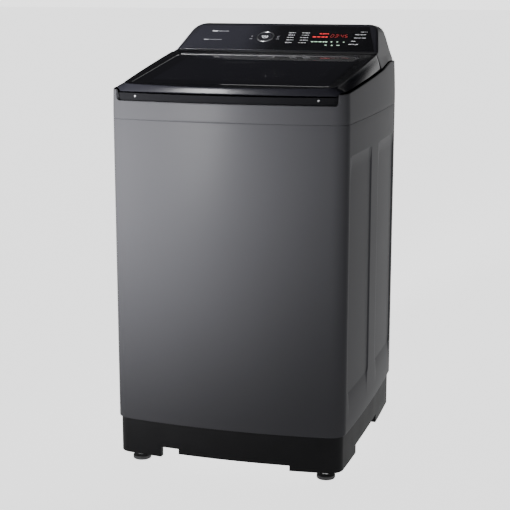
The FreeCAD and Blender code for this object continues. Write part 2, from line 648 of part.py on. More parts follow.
def console_block(label, wall):
    """The console's outer shape, or its hollow when wall is not zero."""
    front = f"({LID_REAR} + console_gap + {wall})"
    foot = f"({SEAM} + wing_rear + 2.5)" if wall == "0" else f"({SEAM} + wing_rear - 20)"
    back = f"({HALF_D} - 1 - {wall})"
    view = [(front, foot), (front, f"{lid_top(front)} - {wall}"), (PANEL_Y, f"{PANEL_Z} - 1.2 * {wall}"),
            (f"{HALF_D} - 73", f"{SEAM} + 188 - 1.2 * {wall}"), (f"{HALF_D} - 55",
                                                                 f"{SEAM} + ridge_rise - {wall}"),
            (f"{HALF_D} - 24", f"{SEAM} + 183 - 1.2 * {wall}"), (f"{HALF_D} - 6 - {wall}", f"{SEAM} + 158"),
            (back, f"{SEAM} + 110")]
    if wall == "0":
        view += [(back, f"{SEAM} + 105.5"), (f"{HALF_D} - 85", f"{SEAM} + 105")]
    else:
        view += [(back, foot)]
    side = f"{HALF_W} - {wall}"
    low, edge = f"{SEAM} + 80", f"{SEAM} + 178 - {wall}"
    cheek = [(f"-({side} - 4)", low), (f"{side} - 4", low), (f"{side} - 38", edge),
             (f"{side} - 54", f"{SEAM} + 188.5 - {wall}"), (f"{side} - 60", f"{SEAM} + ridge_rise + 2"),
             (f"60 - ({side})", f"{SEAM} + ridge_rise + 2"), (f"54 - ({side})", f"{SEAM} + 188.5 - {wall}"),
             (f"38 - ({side})", edge)]
    face = new_body(f"{label}_cheeks")
    pad(face, polygon(sketch_on(face, "XZ_Plane"), cheek), 2 * FAR, symmetric=True)
    plan = prism(f"{label}_plan", SEAM, f"{SEAM} + ridge_rise + 5", f"2 + {wall}")
    return common(label, common(f"{label}_sides", side_profile(f"{label}_view", view), face), plan)


def panel_box(label, low_x, high_x, low_y, high_y, low, high, radius):
    """A rounded block in the control panel's plane; y runs up the panel, z out of it."""
    return box(label, (low_x, low_y, low), (high_x, high_y, high), PANEL_ORIGIN, PANEL_TILT, radius)


def panel_disc(label, radius, x, y, low, high, bore=None):
    body = new_body(label, PANEL_ORIGIN, PANEL_TILT)
    sketch = circle(sketch_on(body, "XY_Plane", low), radius, x, y)
    if bore is not None:
        circle(sketch, bore, x, y)
    pad(body, sketch, f"{high} - ({low})")
    return body


def panel_plate(label, shrink, low, high):
    """The fascia's outline, narrower at the top."""
    body = new_body(label, PANEL_ORIGIN, PANEL_TILT)
    wide, narrow = f"{HALF_W} - 31 - {shrink}", f"{HALF_W} - 60 - {shrink}"
    top = f"{PANEL_UP} - 5 - {shrink}"
    outline = [(f"-({wide})", f"4 + {shrink}"), (wide, f"4 + {shrink}"), (narrow, top), (f"-({narrow})", top)]
    pad(body, polygon(sketch_on(body, "XY_Plane", low), outline), f"{high} - ({low})")
    return body


BUTTONS = {"start_button": ("button", "-ring_x"), "power_key": ("key", "-ring_x - key_side"),
           "hold_key": ("key", "key_side - ring_x")}
LENS = (f"{HALF_W} - lens_side - lens_width / 2", f"{HALF_W} - lens_side + lens_width / 2")


def console_housing():
    shell = cut("console_shell", console_block("console_outer", "0"), console_block("console_inner",
                                                                                    "console_wall"))
    tools = [panel_plate("panel_seat", "-fit_gap", "-panel", "20"),
             panel_plate("panel_service", "9", "-30", "20"),
             box("valve_window", ("-125", f"{HALF_D} - 20", f"{SEAM} + 107"),
                 ("-55", f"{HALF_D} + 5", f"{SEAM} + 145"), radius="4"),
             rod_along_y("gland_hole", "9", "120", f"{SEAM} + 125", f"{HALF_D} - 20", f"{HALF_D} + 5"),
             rod_along_y("bolt_hole", "4.5", f"{HALF_W} - 95", f"{HINGE_Z} - 16", f"{LID_REAR} - 2",
                         f"{LID_REAR} + 12")]
    bed = common("panel_bed", panel_plate("panel_bed_plate", "-4", "-panel - 3", "-panel"),
                 console_block("console_bed_reach", "0"))
    return cut("console_housing", fuse("console_with_bed", [shell, bed]), fuse("console_cuts", tools))


def control_panel():
    tools = [panel_disc("ring_hole", "ring + fit_gap", "-ring_x", "ring_up", "-10", "10")]
    for name, (radius, x) in BUTTONS.items():
        if name != "start_button":
            tools.append(panel_disc(f"{name}_hole", f"{radius} + fit_gap", x, "ring_up", "-10", "10"))
    tools.append(panel_box("lens_hole", f"{LENS[0]} - fit_gap", f"{LENS[1]} + fit_gap", "lens_low - fit_gap",
                           "lens_high + fit_gap", "-10", "10", "3"))
    return cut("control_panel", panel_plate("panel_blank", "0", "-panel", "0"), fuse("panel_holes", tools))


def press_buttons():
    for name, (radius, x) in BUTTONS.items():
        node(name, panel_disc(name + "_cap", radius, x, "ring_up", "-panel - 2", "0.6"))


def start_ring():
    return panel_disc("start_ring", "ring", "-ring_x", "ring_up", "-panel", "1", "button + fit_gap")


def display_window():
    return panel_box("display_window", LENS[0], LENS[1], "lens_low", "lens_high", "-panel", "0",
                     "3 - fit_gap")


def control_board():
    return panel_box("control_board", f"45 - {HALF_W} + 30", f"{HALF_W} - 75", "22", f"{PANEL_UP} - 20",
                     "-14", "-10", "2")


# ---------------------------------------------------------------- inside the console and the cover

def inlet_valve():
    valve = box("valve_body", ("-115", f"{HALF_D} - 62", f"{SEAM} + 108"), ("-65", f"{HALF_D} - 24",
                                                                            f"{SEAM} + 142"),
                radius="4")
    stem = rod_along_y("valve_nozzle", "nozzle", "-90", f"{SEAM} + 125", f"{HALF_D} - 26", HALF_D)
    flow = rod_along_y("valve_flow", "9", "-90", f"{SEAM} + 125", f"{HALF_D} - 20", f"{HALF_D} + 5")
    return cut("inlet_valve", fuse("valve_whole", [valve, stem]), flow)


def cord_gland():
    return rod_along_y("cord_gland", "8.9", "120", f"{SEAM} + 125", f"{HALF_D} - 8", HALF_D, "4")


def pressure_switch():
    profile = [(0, f"{SEAM} + 108"), (24, f"{SEAM} + 108"), (24, f"{SEAM} + 122"), (10, f"{SEAM} + 126"),
               (10, f"{SEAM} + 134"), (0, f"{SEAM} + 134")]
    return lathe("pressure_switch", profile, ("60", f"{HALF_D} - 60", 0))


def lid_lock():
    x, z = f"{HALF_W} - 95", f"{HINGE_Z} - 16"
    case = box("lock_case", (f"{x} - 16", f"{LID_REAR} + 8", f"{z} - 10"), (f"{x} + 16",
                                                                            f"{LID_REAR} + 44", f"{z} + 10"))
    bore = rod_along_y("lock_bore", "4 + run_gap", x, z, f"{LID_REAR} + 5", f"{LID_REAR} + 40")
    bolt = rod_along_y("lid_lock_bolt", "4", x, z, f"{LID_REAR} + 3.5", f"{LID_REAR} + 30")
    return cut("lid_lock", case, bore), bolt


def drawer_box():
    """Housing under the deck, open to the front, that the detergent drawer slides in."""
    half = "drawer_width / 2"
    low = f"{SEAM} + 26"
    case = box("dispenser_outer", (f"-drawer_x - {half} - 4", f"{MOUTH_BACK} + 3.5", f"{low} - 4"),
               (f"-drawer_x + {half} + 4", f"{MOUTH_BACK} + drawer_length + 10", f"{low} + drawer_depth + 2"))
    room = box("dispenser_room", (f"-drawer_x - {half} - drawer_gap", f"{MOUTH_BACK} - 5",
                                  f"{low} - drawer_gap"),
               (f"-drawer_x + {half} + drawer_gap", f"{MOUTH_BACK} + drawer_length + 6",
                f"{low} + drawer_depth + drawer_gap"))
    return cut("dispenser_box", case, room)


def detergent_drawer():
    """Tray with a front plate and one cross wall."""
    half = "drawer_width / 2"
    low = f"{SEAM} + 26"
    front, back = f"{MOUTH_BACK} - 2", f"{MOUTH_BACK} + drawer_length"
    tray = box("drawer_outer", (f"-drawer_x - {half}", front, low), (f"-drawer_x + {half}", back,
                                                                     f"{low} + drawer_depth"))
    middle = f"{MOUTH_BACK} + drawer_length / 2"
    rooms = [box("drawer_room_front", (f"-drawer_x - {half} + 2", f"{front} + 4", f"{low} + 2"),
                 (f"-drawer_x + {half} - 2", f"{middle} - 1", f"{low} + drawer_depth + 5")),
             box("drawer_room_back", (f"-drawer_x - {half} + 2", f"{middle} + 1", f"{low} + 2"),
                 (f"-drawer_x + {half} - 2", f"{back} - 2", f"{low} + drawer_depth + 5"))]
    return cut("detergent_drawer", tray, fuse("drawer_rooms", rooms))


# ---------------------------------------------------------------- tub and its suspension

def rod_places():
    for name, sx, sy in CORNERS:
        yield name, sx, sy, f"{sx} * ({HALF_W} - rod_side)", f"{sy} * ({HALF_D} - rod_end)"


def turned_set(label, profile):
    """The same turned piece at the four rods."""
    pieces = [lathe(f"{label}_{name}", profile, (x, y, 0)) for name, sx, sy, x, y in rod_places()]
    return group(label, pieces)


def corner_brackets():
    """Plates across the cabinet's top corners, that the rods hang from."""
    wall = prism("bracket_reach", f"{SEAM} - 14", f"{SEAM} - 11", "steel")
    plates, holes = [], []
    for name, sx, sy, x, y in rod_places():
        plate = new_body(f"bracket_{name}", (x, y, 0))
        outline = [(f"{sx} * (-20)", f"{sy} * 90"), (f"{sx} * (-20)", f"{sy} * 12"), (f"{sx} * (-12)",
                                                                                      f"{sy} * (-12)"),
                   (f"{sx} * 12", f"{sy} * (-20)"), (f"{sx} * 90", f"{sy} * (-20)"), (f"{sx} * 90",
                                                                                      f"{sy} * 90")]
        pad(plate, polygon(sketch_on(plate, "XY_Plane", f"{SEAM} - 14"), outline), "3")
        plates.append(plate)
        hole = new_body(f"bracket_hole_{name}", (x, y, 0))
        pad(hole, circle(sketch_on(hole, "XY_Plane", f"{SEAM} - 20"), "rod + 1"), "20")
        holes.append(hole)
    whole = common("brackets_in_cabinet", fuse("bracket_plates", plates), wall)
    holes.append(box("bracket_back_gap", (f"36 - {HALF_W}", f"{HALF_D} - 2 * steel", SEAM + " - 20"),
                     (f"{HALF_W} - 36", HALF_D, SEAM)))
    return cut("corner_brackets", whole, fuse("bracket_holes", holes))


def suspension_rods():
    profile = [(0, f"{ROD_LOW} - 6"), (15, f"{ROD_LOW} - 6"), (15, ROD_LOW), ("rod", ROD_LOW), ("rod",
            f"{SEAM} - 6"),
               (8, f"{SEAM} - 6"), (8, f"{SEAM} - 1"), (0, f"{SEAM} - 1")]
    return turned_set("suspension_rods", profile)


def rod_seats():
    return turned_set("rod_seats", ring_profile("rod + 0.5", "13", f"{SEAM} - 11", f"{SEAM} - 6"))


def suspension_cups():
    profile = [("rod + 1", CUP_LOW), ("16", CUP_LOW), ("16", f"{CUP_LOW} + 12"), ("9", f"{CUP_LOW} + 12"),
               ("9", f"{CUP_LOW} + 24"), ("rod + 1", f"{CUP_LOW} + 24")]
    return turned_set("suspension_cups", profile)


def suspension_springs():
    """Round-wire helix between each rod's plate and the tub's cup, as a shape with its own Placement."""
    wire_r, coil_r = value("spring_wire"), value("spring")
    length = value(f"{CUP_LOW} - {ROD_LOW}") - 2 * wire_r - 1
    pitch = length / value("spring_turns")
    shapes = []
    for name, sx, sy, x, y in rod_places():
        path = Part.makeHelix(pitch, length, coil_r)
        section = Part.Wire(Part.Circle(Vector(coil_r, 0, 0), Vector(0, 1, 0), wire_r).toShape())
        coil = Part.Wire(path.Edges).makePipeShell([section], True, True)
        coil.translate(Vector(value(x), value(y), value(ROD_LOW) + wire_r + 0.5))
        shapes.append(coil)
    item = doc.addObject("Part::Feature", "suspension_springs")
    item.Shape = Part.makeCompound(shapes)
    return item


def outer_tub():
    tub = new_body("tub_blank", (0, TUB_Y, 0))
    pad(tub, circle(sketch_on(tub, "XY_Plane", TUB_LOW), TUB_R), f"{TUB_TOP} - {TUB_LOW}")
    lug_low = f"{CUP_LOW} + 12"
    lugs, holes = [], []
    for name, sx, sy, x, y in rod_places():
        lug = new_body(f"lug_{name}", (x, y, 0))
        outline = [(f"{sx} * 17", f"{sy} * (-10)"), (f"{sx} * 17", f"{sy} * 17"), (f"{sx} * (-10)",
                                                                                   f"{sy} * 17"),
                   (f"{sx} * (-110)", f"{sy} * (-60)"), (f"{sx} * (-60)", f"{sy} * (-110)")]
        pad(lug, polygon(sketch_on(lug, "XY_Plane", lug_low), outline), "8")
        lugs.append(lug)
        hole = new_body(f"lug_hole_{name}", (x, y, 0))
        pad(hole, circle(sketch_on(hole, "XY_Plane", f"{lug_low} - 5"), "9"), "20")
        holes.append(hole)
    room = new_body("tub_room", (0, TUB_Y, 0))
    pad(room, circle(sketch_on(room, "XY_Plane", f"{TUB_LOW} + 4"), f"{TUB_R} - tub_wall"), FAR)
    middle = new_body("tub_middle", (0, TUB_Y, 0))
    pad(middle, circle(sketch_on(middle, "XY_Plane"), "bearing + 1"), FAR)
    sump = new_body("sump_hole", ("150", f"{TUB_Y} + 118", 0))
    pad(sump, circle(sketch_on(sump, "XY_Plane"), "14"), f"{TUB_LOW} + 10")
    return cut("outer_tub", fuse("tub_with_lugs", [tub] + lugs), fuse("tub_holes", holes + [room, middle,
                                                                                            sump]))


AXLE = (0, TUB_Y, 0)


def tub_cover():
    profile = [("mouth + 2", TUB_TOP), (TUB_R, TUB_TOP), (TUB_R, f"{TUB_TOP} + 4"), (f"{TUB_R} - 20",
                                                                                     f"{TUB_TOP} + 6"),
               ("mouth + 5", f"{TUB_TOP} + 6"), ("mouth + 2", f"{TUB_TOP} + 4")]
    return lathe("tub_cover", profile, AXLE)


def drive_parts():
    low = TUB_LOW
    housing = [("bearing", f"{low} - 62"), ("bearing + 8", f"{low} - 62"), ("bearing + 8", f"{low} - 12"),
               ("bearing + 45", f"{low} - 8"), ("bearing + 45", low), ("bearing", low)]
    node("drive_housing", lathe("drive_housing", housing, AXLE))
    node("upper_bearing", lathe("upper_bearing", ring_profile("spin_tube + run_gap", "bearing",
                                                              f"{low} - 18", f"{low} - 2"), AXLE))
    node("lower_bearing", lathe("lower_bearing", ring_profile("spin_tube + run_gap", "bearing",
                                                              f"{low} - 60", f"{low} - 46"), AXLE))
    node("tub_seal", lathe("tub_seal", ring_profile("spin_tube + run_gap", "bearing + 1", low,
                                                    f"{low} + 6"), AXLE))
    stator = [("bearing + 8", f"{low} - 52"), ("rotor - 10", f"{low} - 52"), ("rotor - 10", f"{low} - 26"),
              ("bearing + 8", f"{low} - 26")]
    node("stator", lathe("stator", stator, AXLE))
    cup_low = f"{low} - 72"
    rotor = [("shaft", cup_low), ("rotor", cup_low), ("rotor", f"{low} - 24"), ("rotor - 4", f"{low} - 24"),
             ("rotor - 4", f"{cup_low} + 5"), ("30", f"{cup_low} + 5"), ("30", f"{cup_low} + 8"), ("shaft",
                     f"{cup_low} + 8")]
    node("rotor", lathe("rotor_cup", rotor, AXLE))
    node("rotor_nut", lathe("rotor_nut", ring_profile("shaft", "15", f"{cup_low} - 9", cup_low), AXLE))
    tube = ring_profile("shaft + run_gap", "spin_tube", f"{low} - 61", BASKET_LOW)
    node("spin_tube", lathe("spin_tube_turned", tube, AXLE))
    node("pulsator_shaft", lathe("pulsator_shaft", ring_profile(0, "shaft", f"{cup_low} - 10",
                                                                f"{BASKET_LOW} + 22"), AXLE))


def drain_pump():
    profile = [(0, f"{TUB_LOW} - 52"), (26, f"{TUB_LOW} - 52"), (26, f"{TUB_LOW} - 20"), (32,
                                                                                          f"{TUB_LOW} - 18"),
               (32, f"{TUB_LOW} - 1"), (22, f"{TUB_LOW} - 1"), (22, TUB_LOW), (0, TUB_LOW)]
    return lathe("drain_pump", profile, ("150", f"{TUB_Y} + 118", 0))


def drain_outlet():
    """A flanged pipe behind the base's back wall."""
    seat = f"{HALF_D} - base_inset - base_wall"
    flange = rod_along_y("outlet_flange", "outlet + 13", OUTLET_X, OUTLET_Z, f"{seat} - 4", seat,
                         "outlet - 3")
    pipe = rod_along_y("outlet_pipe", "outlet", OUTLET_X, OUTLET_Z, f"{seat} - 4", HALF_D, "outlet - 3")
    return fuse("drain_outlet", [flange, pipe])


def basket_parts():
    low, top = BASKET_LOW, BASKET_TOP
    wall = [("spin_tube", low), (BASKET_R, low), (BASKET_R, top), (f"{BASKET_R} - basket_wall", top),
            (f"{BASKET_R} - basket_wall", f"{low} + 3"), ("spin_tube", f"{low} + 3")]
    node("wash_basket", lathe("wash_basket", wall, AXLE))
    inner = f"{BASKET_R} - basket_wall"
    balance = [(f"{inner} - balance + 6", f"{top} - 38"), (inner, f"{top} - 38"), (inner, f"{top}"),
               (BASKET_R, f"{top}"),
               (BASKET_R, f"{top} + 6"), (f"{inner} - balance + 4", f"{top} + 6"), (f"{inner} - balance",
                                                                                    f"{top} + 1"),
               (f"{inner} - balance", f"{top} - 30")]
    node("balance_ring", lathe("balance_ring_turned", balance, AXLE))
    hub = [("spin_tube", f"{low} - 13"), (60, f"{low} - 13"), (60, f"{low} - 6"), (150, f"{low} - 3"),
           (150, low),
           ("spin_tube", low)]
    node("basket_hub", lathe("basket_hub_turned", hub, AXLE))
    dish = [("shaft", f"{low} + 7"), (f"{inner} - 26", f"{low} + 7"), (f"{inner} - 20", f"{low} + 10"),
            (f"{inner} - 24", f"{low} + 16"), (110, f"{low} + 21"), (60, f"{low} + 34"), ("shaft",
                                                                                          f"{low} + 40")]
    blade = new_body("pulsator_blade", (0, TUB_Y, 0))
    outline = [(20, f"{low} + 12"), (f"{inner} - 40", f"{low} + 12"), (f"{inner} - 48", f"{low} + 30"),
               (70, f"{low} + 44"),
               (20, f"{low} + 44")]
    fin = pad(blade, polygon(sketch_on(blade, "XZ_Plane"), outline), "14", symmetric=True)
    doc.recompute()
    fins = blade.newObject("PartDesign::PolarPattern", "pulsator_blades")
    fins.Originals = [fin]
    fins.Axis = ([item for item in blade.Origin.OriginFeatures if item.Role == "Z_Axis"][0], [""])
    fins.Angle = 360
    fins.Occurrences = 3
    blade.Tip = fins
    bore = lathe("pulsator_bore", ring_profile(0, "shaft", low, f"{low} + 50"), AXLE)
    solid = cut("pulsator_solid", fuse("pulsator_whole", [lathe("pulsator_dish", dish, AXLE), blade]), bore)
    node("pulsator", solid)
    cap = [(0, f"{low} + 44"), (22, f"{low} + 44"), (22, f"{low} + 48"), (12, f"{low} + 52"), (0,
                                                                                               f"{low} + 52")]
    node("pulsator_cap", lathe("pulsator_cap_turned", cap, AXLE))
    screw = [(0, f"{low} + 22"), ("shaft - 1", f"{low} + 22"), ("shaft - 1", f"{low} + 44"), (0,
                                                                                              f"{low} + 44")]
    node("pulsator_screw", lathe("pulsator_screw_turned", screw, AXLE))
    node("lint_filter", box("lint_filter_case", (f"{inner} - 22", "-46", f"{low} + 190"), (f"{inner} - 7",
            "46", f"{low} + 360"),
                            AXLE, radius="5"))


# ---------------------------------------------------------------- build, check and write

node("cabinet_shell", cabinet_shell())
node("rear_panel", rear_panel())
node("rear_screws", group("rear_screws", rear_screw_row("rear_screw")))
node("base_frame", base_frame())
for corner_name, corner_x, corner_y in CORNERS:
    node(f"foot_{corner_name}", foot(corner_name, corner_x, corner_y))
node("top_cover", top_cover())
node("inner_frame", inner_frame())
node("front_caps", front_caps())
node("hinge_posts", hinge_posts())
node("lid_frame", lid_frame())
node("lid_glass", lid_glass())
node("lid_inner_frame", lid_inner_frame())
node("lid_trim_bar", lid_trim_bar())
node("lid_hinge_pins", lid_hinge_pins())
node("console_housing", console_housing())
node("control_panel", control_panel())
press_buttons()
node("start_ring", start_ring())
node("display_window", display_window())
node("control_board", control_board())
node("inlet_valve", inlet_valve())
node("cord_gland", cord_gland())
node("pressure_switch", pressure_switch())
lock, bolt = lid_lock()
node("lid_lock", lock)
node("lid_lock_bolt", bolt)
node("dispenser_box", drawer_box())
node("detergent_drawer", detergent_drawer())
node("corner_brackets", corner_brackets())
node("rod_seats", rod_seats())
node("suspension_rods", suspension_rods())
node("suspension_springs", suspension_springs())
node("suspension_cups", suspension_cups())
node("outer_tub", outer_tub())
node("tub_cover", tub_cover())
drive_parts()
node("drain_pump", drain_pump())
node("drain_outlet", drain_outlet())
basket_parts()

doc.recompute()
for item in doc.Objects:
    if "Invalid" in item.State or "Error" in item.State:
        raise RuntimeError(f"{item.Label} did not build")
for name, item in NODES.items():
    if item.Shape.isNull() or not item.Shape.isValid():
        raise RuntimeError(f"{name} has no valid shape")
os.makedirs("parts", exist_ok=True)
for name, item in NODES.items():
    item.Shape.exportStep(f"parts/{name}.step")
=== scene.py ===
import math

import bmesh
import bpy
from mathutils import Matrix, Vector


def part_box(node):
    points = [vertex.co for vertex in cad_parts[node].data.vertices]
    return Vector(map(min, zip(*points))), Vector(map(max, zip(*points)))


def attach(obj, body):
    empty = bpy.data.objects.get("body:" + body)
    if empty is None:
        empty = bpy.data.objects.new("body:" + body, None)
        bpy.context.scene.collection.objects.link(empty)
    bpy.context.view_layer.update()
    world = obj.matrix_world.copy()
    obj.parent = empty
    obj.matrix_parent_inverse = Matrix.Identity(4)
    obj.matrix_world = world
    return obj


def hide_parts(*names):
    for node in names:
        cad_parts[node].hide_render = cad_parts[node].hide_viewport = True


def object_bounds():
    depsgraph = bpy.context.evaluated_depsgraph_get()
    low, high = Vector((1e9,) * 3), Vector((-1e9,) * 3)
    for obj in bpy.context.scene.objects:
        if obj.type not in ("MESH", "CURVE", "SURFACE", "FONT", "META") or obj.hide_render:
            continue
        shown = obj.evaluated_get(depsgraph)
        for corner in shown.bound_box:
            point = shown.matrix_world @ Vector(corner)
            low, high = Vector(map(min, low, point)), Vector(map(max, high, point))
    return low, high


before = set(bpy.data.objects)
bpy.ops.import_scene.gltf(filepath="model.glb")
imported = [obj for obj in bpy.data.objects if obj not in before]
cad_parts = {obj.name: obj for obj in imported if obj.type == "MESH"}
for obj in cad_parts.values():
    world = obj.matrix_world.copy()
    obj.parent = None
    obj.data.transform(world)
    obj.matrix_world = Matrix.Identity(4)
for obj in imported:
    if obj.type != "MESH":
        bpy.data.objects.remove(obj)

CAD_LOW, CAD_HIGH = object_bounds()
MM = 0.001
WELD, FINE_WELD = 1e-6, 1e-7

# ---------------------------------------------------------------- sizes, in metres

HALF_W = CAD_HIGH.x
HALF_D = CAD_HIGH.y
FRONT_BOW = 21 * MM
SIDE_BOW = 6.6 * MM
FRONT_CORNER = 36 * MM
REAR_CORNER = 25 * MM
BASE_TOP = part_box("cabinet_shell")[0].z
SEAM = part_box("cabinet_shell")[1].z
RIDGE = CAD_HIGH.z
LEDGE = SEAM + 40 * MM
LID_FRONT_Y = 20 * MM - HALF_D
LID_FRONT_Z = SEAM + 75 * MM
LID_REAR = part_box("lid_frame")[1].y
PANEL_Y = HALF_D - 169 * MM
PANEL_Z = SEAM + 130 * MM
LID_SLOPE = 55 * MM / (PANEL_Y - LID_FRONT_Y)
WING_SLOPE = 27 * MM / (LID_REAR - LID_FRONT_Y)
PANEL_RUN, PANEL_RISE = 96 * MM, 58 * MM
PANEL_TILT = math.atan2(PANEL_RISE, PANEL_RUN)
LID_TILT = math.atan(LID_SLOPE)


def lid_top(y):
    """Height of the lid's upper face."""
    return LID_FRONT_Z + (y - LID_FRONT_Y) * LID_SLOPE


def wing_top(y):
    """Height of the top cover's upper edge beside the lid and the console."""
    if y <= LID_REAR:
        return SEAM + 63 * MM + (y - LID_FRONT_Y) * WING_SLOPE
    rise = min(1, (y - LID_REAR) / (105 * MM))
    return SEAM + 90 * MM + rise * 13.5 * MM


def smooth(low, high, x):
    """0 below low, 1 above high, and an easy curve between."""
    t = max(0.0, min(1.0, (x - low) / (high - low)))
    return t * t * (3 - 2 * t)


# ---------------------------------------------------------------- materials

class Value:
    """A shader value that can be used in arithmetic."""

    def __init__(self, finish, socket):
        self.finish = finish
        self.socket = socket

    def math(self, operation, other=None, swapped=False, clamp=False):
        pair = (other, self) if swapped else (self, other)
        inputs = {i: item for i, item in enumerate(pair) if item is not None}
        return self.finish.add("Math", {"operation": operation, "use_clamp": clamp}, inputs).out()

    def __add__(self, other):
        return self.math("ADD", other)

    def __sub__(self, other):
        return self.math("SUBTRACT", other)

    def __rsub__(self, other):
        return self.math("SUBTRACT", other, swapped=True)

    def __mul__(self, other):
        return self.math("MULTIPLY", other)

    def __gt__(self, other):
        return self.math("GREATER_THAN", other)

    def __lt__(self, other):
        return self.math("LESS_THAN", other)


class Node:
    """A shader node whose outputs are read as values."""

    def __init__(self, finish, node):
        self.finish = finish
        self.node = node

    def out(self, name=0):
        return Value(self.finish, self.node.outputs[name])


class Finish:
    """One material: a Principled shader and the nodes that feed it."""

    def __init__(self, name, color=(0.8, 0.8, 0.8), **shader):
        self.material = bpy.data.materials.new(name)
        self.material.use_nodes = True
        self.tree = self.material.node_tree
        self.tree.nodes.clear()
        self.shader = self.add("BsdfPrincipled").node
        output = self.add("OutputMaterial").node
        self.tree.links.new(self.shader.outputs[0], output.inputs[0])
        self.shader.inputs["Base Color"].default_value = (*color, 1)
        for key, value in shader.items():
            self.set(key.replace("_", " ").title().replace("Ior", "IOR"), value)

    def add(self, kind, settings=None, inputs=None):
        node = self.tree.nodes.new("ShaderNode" + kind)
        for key, value in (settings or {}).items():
            if key == "stops":
                self.ramp(node.color_ramp, value)
            else:
                setattr(node, key, value)
        for key, value in (inputs or {}).items():
            self.feed(node.inputs[key], value)
        return Node(self, node)

    def ramp(self, ramp, stops):
        while len(ramp.elements) < len(stops):
            ramp.elements.new(0.5)
        for element, (place, color) in zip(ramp.elements, stops):
            element.position = place
            element.color = (*color, 1) if len(color) == 3 else color

    def feed(self, socket, value):
        if isinstance(value, Value):
            self.tree.links.new(value.socket, socket)
        else:
            socket.default_value = value

    def set(self, name, value):
        self.feed(self.shader.inputs[name], value)

    def place(self):
        """Object coordinates, in metres."""
        return self.add("TexCoord").out("Object")

    def axes(self):
        parts = self.add("SeparateXYZ", inputs={0: self.place()})
        return parts.out("X"), parts.out("Y"), parts.out("Z")

    def noise(self, scale, detail=3.0, stretch=(1, 1, 1), rough=0.5):
        mapped = self.add("Mapping", {}, {"Vector": self.place(), "Scale": stretch}).out()
        return self.add("TexNoise", {}, {"Vector": mapped, "Scale": scale, "Detail": detail,
                                         "Roughness": rough}).out("Fac")

    def blend_colors(self, factor, first, second):
        mixer = self.add("Mix", {"data_type": "RGBA"}, {0: factor})
        self.feed(mixer.node.inputs[6], (*first, 1) if isinstance(first, tuple) else first)
        self.feed(mixer.node.inputs[7], (*second, 1) if isinstance(second, tuple) else second)
        return Value(self, mixer.node.outputs[2])

    def color(self, factor, first, second):
        self.set("Base Color", self.blend_colors(factor, first, second))

    def bump(self, height, strength, distance):
        self.set("Normal", self.add("Bump", {}, {"Height": height, "Strength": strength,
                                                 "Distance": distance}).out())


def graphite_paint():
    """Satin dark grey paint with fine flakes and a slight orange peel."""
    finish = Finish("graphite_paint", metallic=0.0, coat_weight=0.004, coat_roughness=0.2,
                    roughness=0.42, specular_ior_level=0.004)
    flakes = finish.noise(2600, 1.0)
    broad = finish.noise(5, 2.0)
    mottle = flakes * 0.8 + broad * 0.2
    finish.color(mottle, (0.0172, 0.0172, 0.0188), (0.0265, 0.0265, 0.0288))
    finish.set("Roughness", flakes * 0.05 + broad * 0.04 + 0.3)
    finish.bump(finish.noise(160, 2.0), 0.05, 0.0003)
    return finish.material


def textured_plastic(name, dark, light, grain=900, rough=0.5, depth=0.25, shine=0.4):
    """Moulded plastic with a fine spark-eroded grain."""
    finish = Finish(name, roughness=rough, specular_ior_level=shine)
    patches = finish.noise(18, 3.0)
    finish.color(patches, dark, light)
    finish.set("Roughness", patches * 0.12 + (rough - 0.06))
    finish.bump(finish.noise(grain, 2.0), depth, 0.0002)
    return finish.material


def gloss_plastic(name, dark, light, rough=0.14, coat=0.5, shine=0.3):
    """Moulded gloss plastic: faint flow marks, dust-fine roughness changes."""
    finish = Finish(name, roughness=rough, coat_weight=coat, coat_roughness=0.06, specular_ior_level=shine)
    flow = finish.noise(9, 3.0, (1, 2.5, 1))
    finish.color(flow, dark, light)
    finish.set("Roughness", finish.noise(260, 2.0) * 0.06 + (rough - 0.03))
    finish.bump(finish.noise(70, 1.0), 0.03, 0.0003)
    return finish.material


def brushed_metal(name, dark, light, stretch, rough):
    """Brushed or turned metal, with its lines along the least stretched axes."""
    finish = Finish(name, metallic=1.0, roughness=rough)
    lines = finish.noise(40, 4.0, stretch)
    cloud = finish.noise(11, 2.0)
    finish.color(lines * 0.6 + cloud * 0.4, dark, light)
    finish.set("Roughness", lines * 0.14 + (rough - 0.06))
    finish.bump(lines, 0.08, 0.0002)
    return finish.material


def galvanised_steel():
    """Zinc-coated sheet with soft spangles."""
    finish = Finish("galvanised_steel", metallic=0.9, roughness=0.42)
    cells = finish.add("TexVoronoi", {}, {"Vector": finish.place(), "Scale": 70.0}).out("Color")
    tone = finish.add("SeparateColor", inputs={0: cells}).out(0)
    finish.color(tone, (0.42, 0.43, 0.45), (0.56, 0.57, 0.59))
    finish.set("Roughness", tone * 0.16 + 0.34)
    finish.bump(finish.noise(320, 2.0), 0.06, 0.0002)
    return finish.material


def rubber():
    """Matt moulded rubber."""
    finish = Finish("rubber", roughness=0.78, specular_ior_level=0.3)
    mould = finish.noise(220, 3.0)
    finish.color(mould, (0.016, 0.016, 0.017), (0.034, 0.034, 0.035))
    finish.set("Roughness", mould * 0.15 + 0.7)
    finish.bump(mould, 0.3, 0.0004)
    return finish.material


# ---------------------------------------------------------------- mesh helpers

def grid_piece(rows):
    """A sheet through rows of points, every row with the same number of points."""
    across, along = len(rows[0]) - 1, len(rows) - 1
    bm = bmesh.new()
    bmesh.ops.create_grid(bm, x_segments=across, y_segments=along, size=1)
    for vert in bm.verts:
        i = round((vert.co.x + 1) / 2 * across)
        j = round((vert.co.y + 1) / 2 * along)
        vert.co = rows[j][i]
    return bm


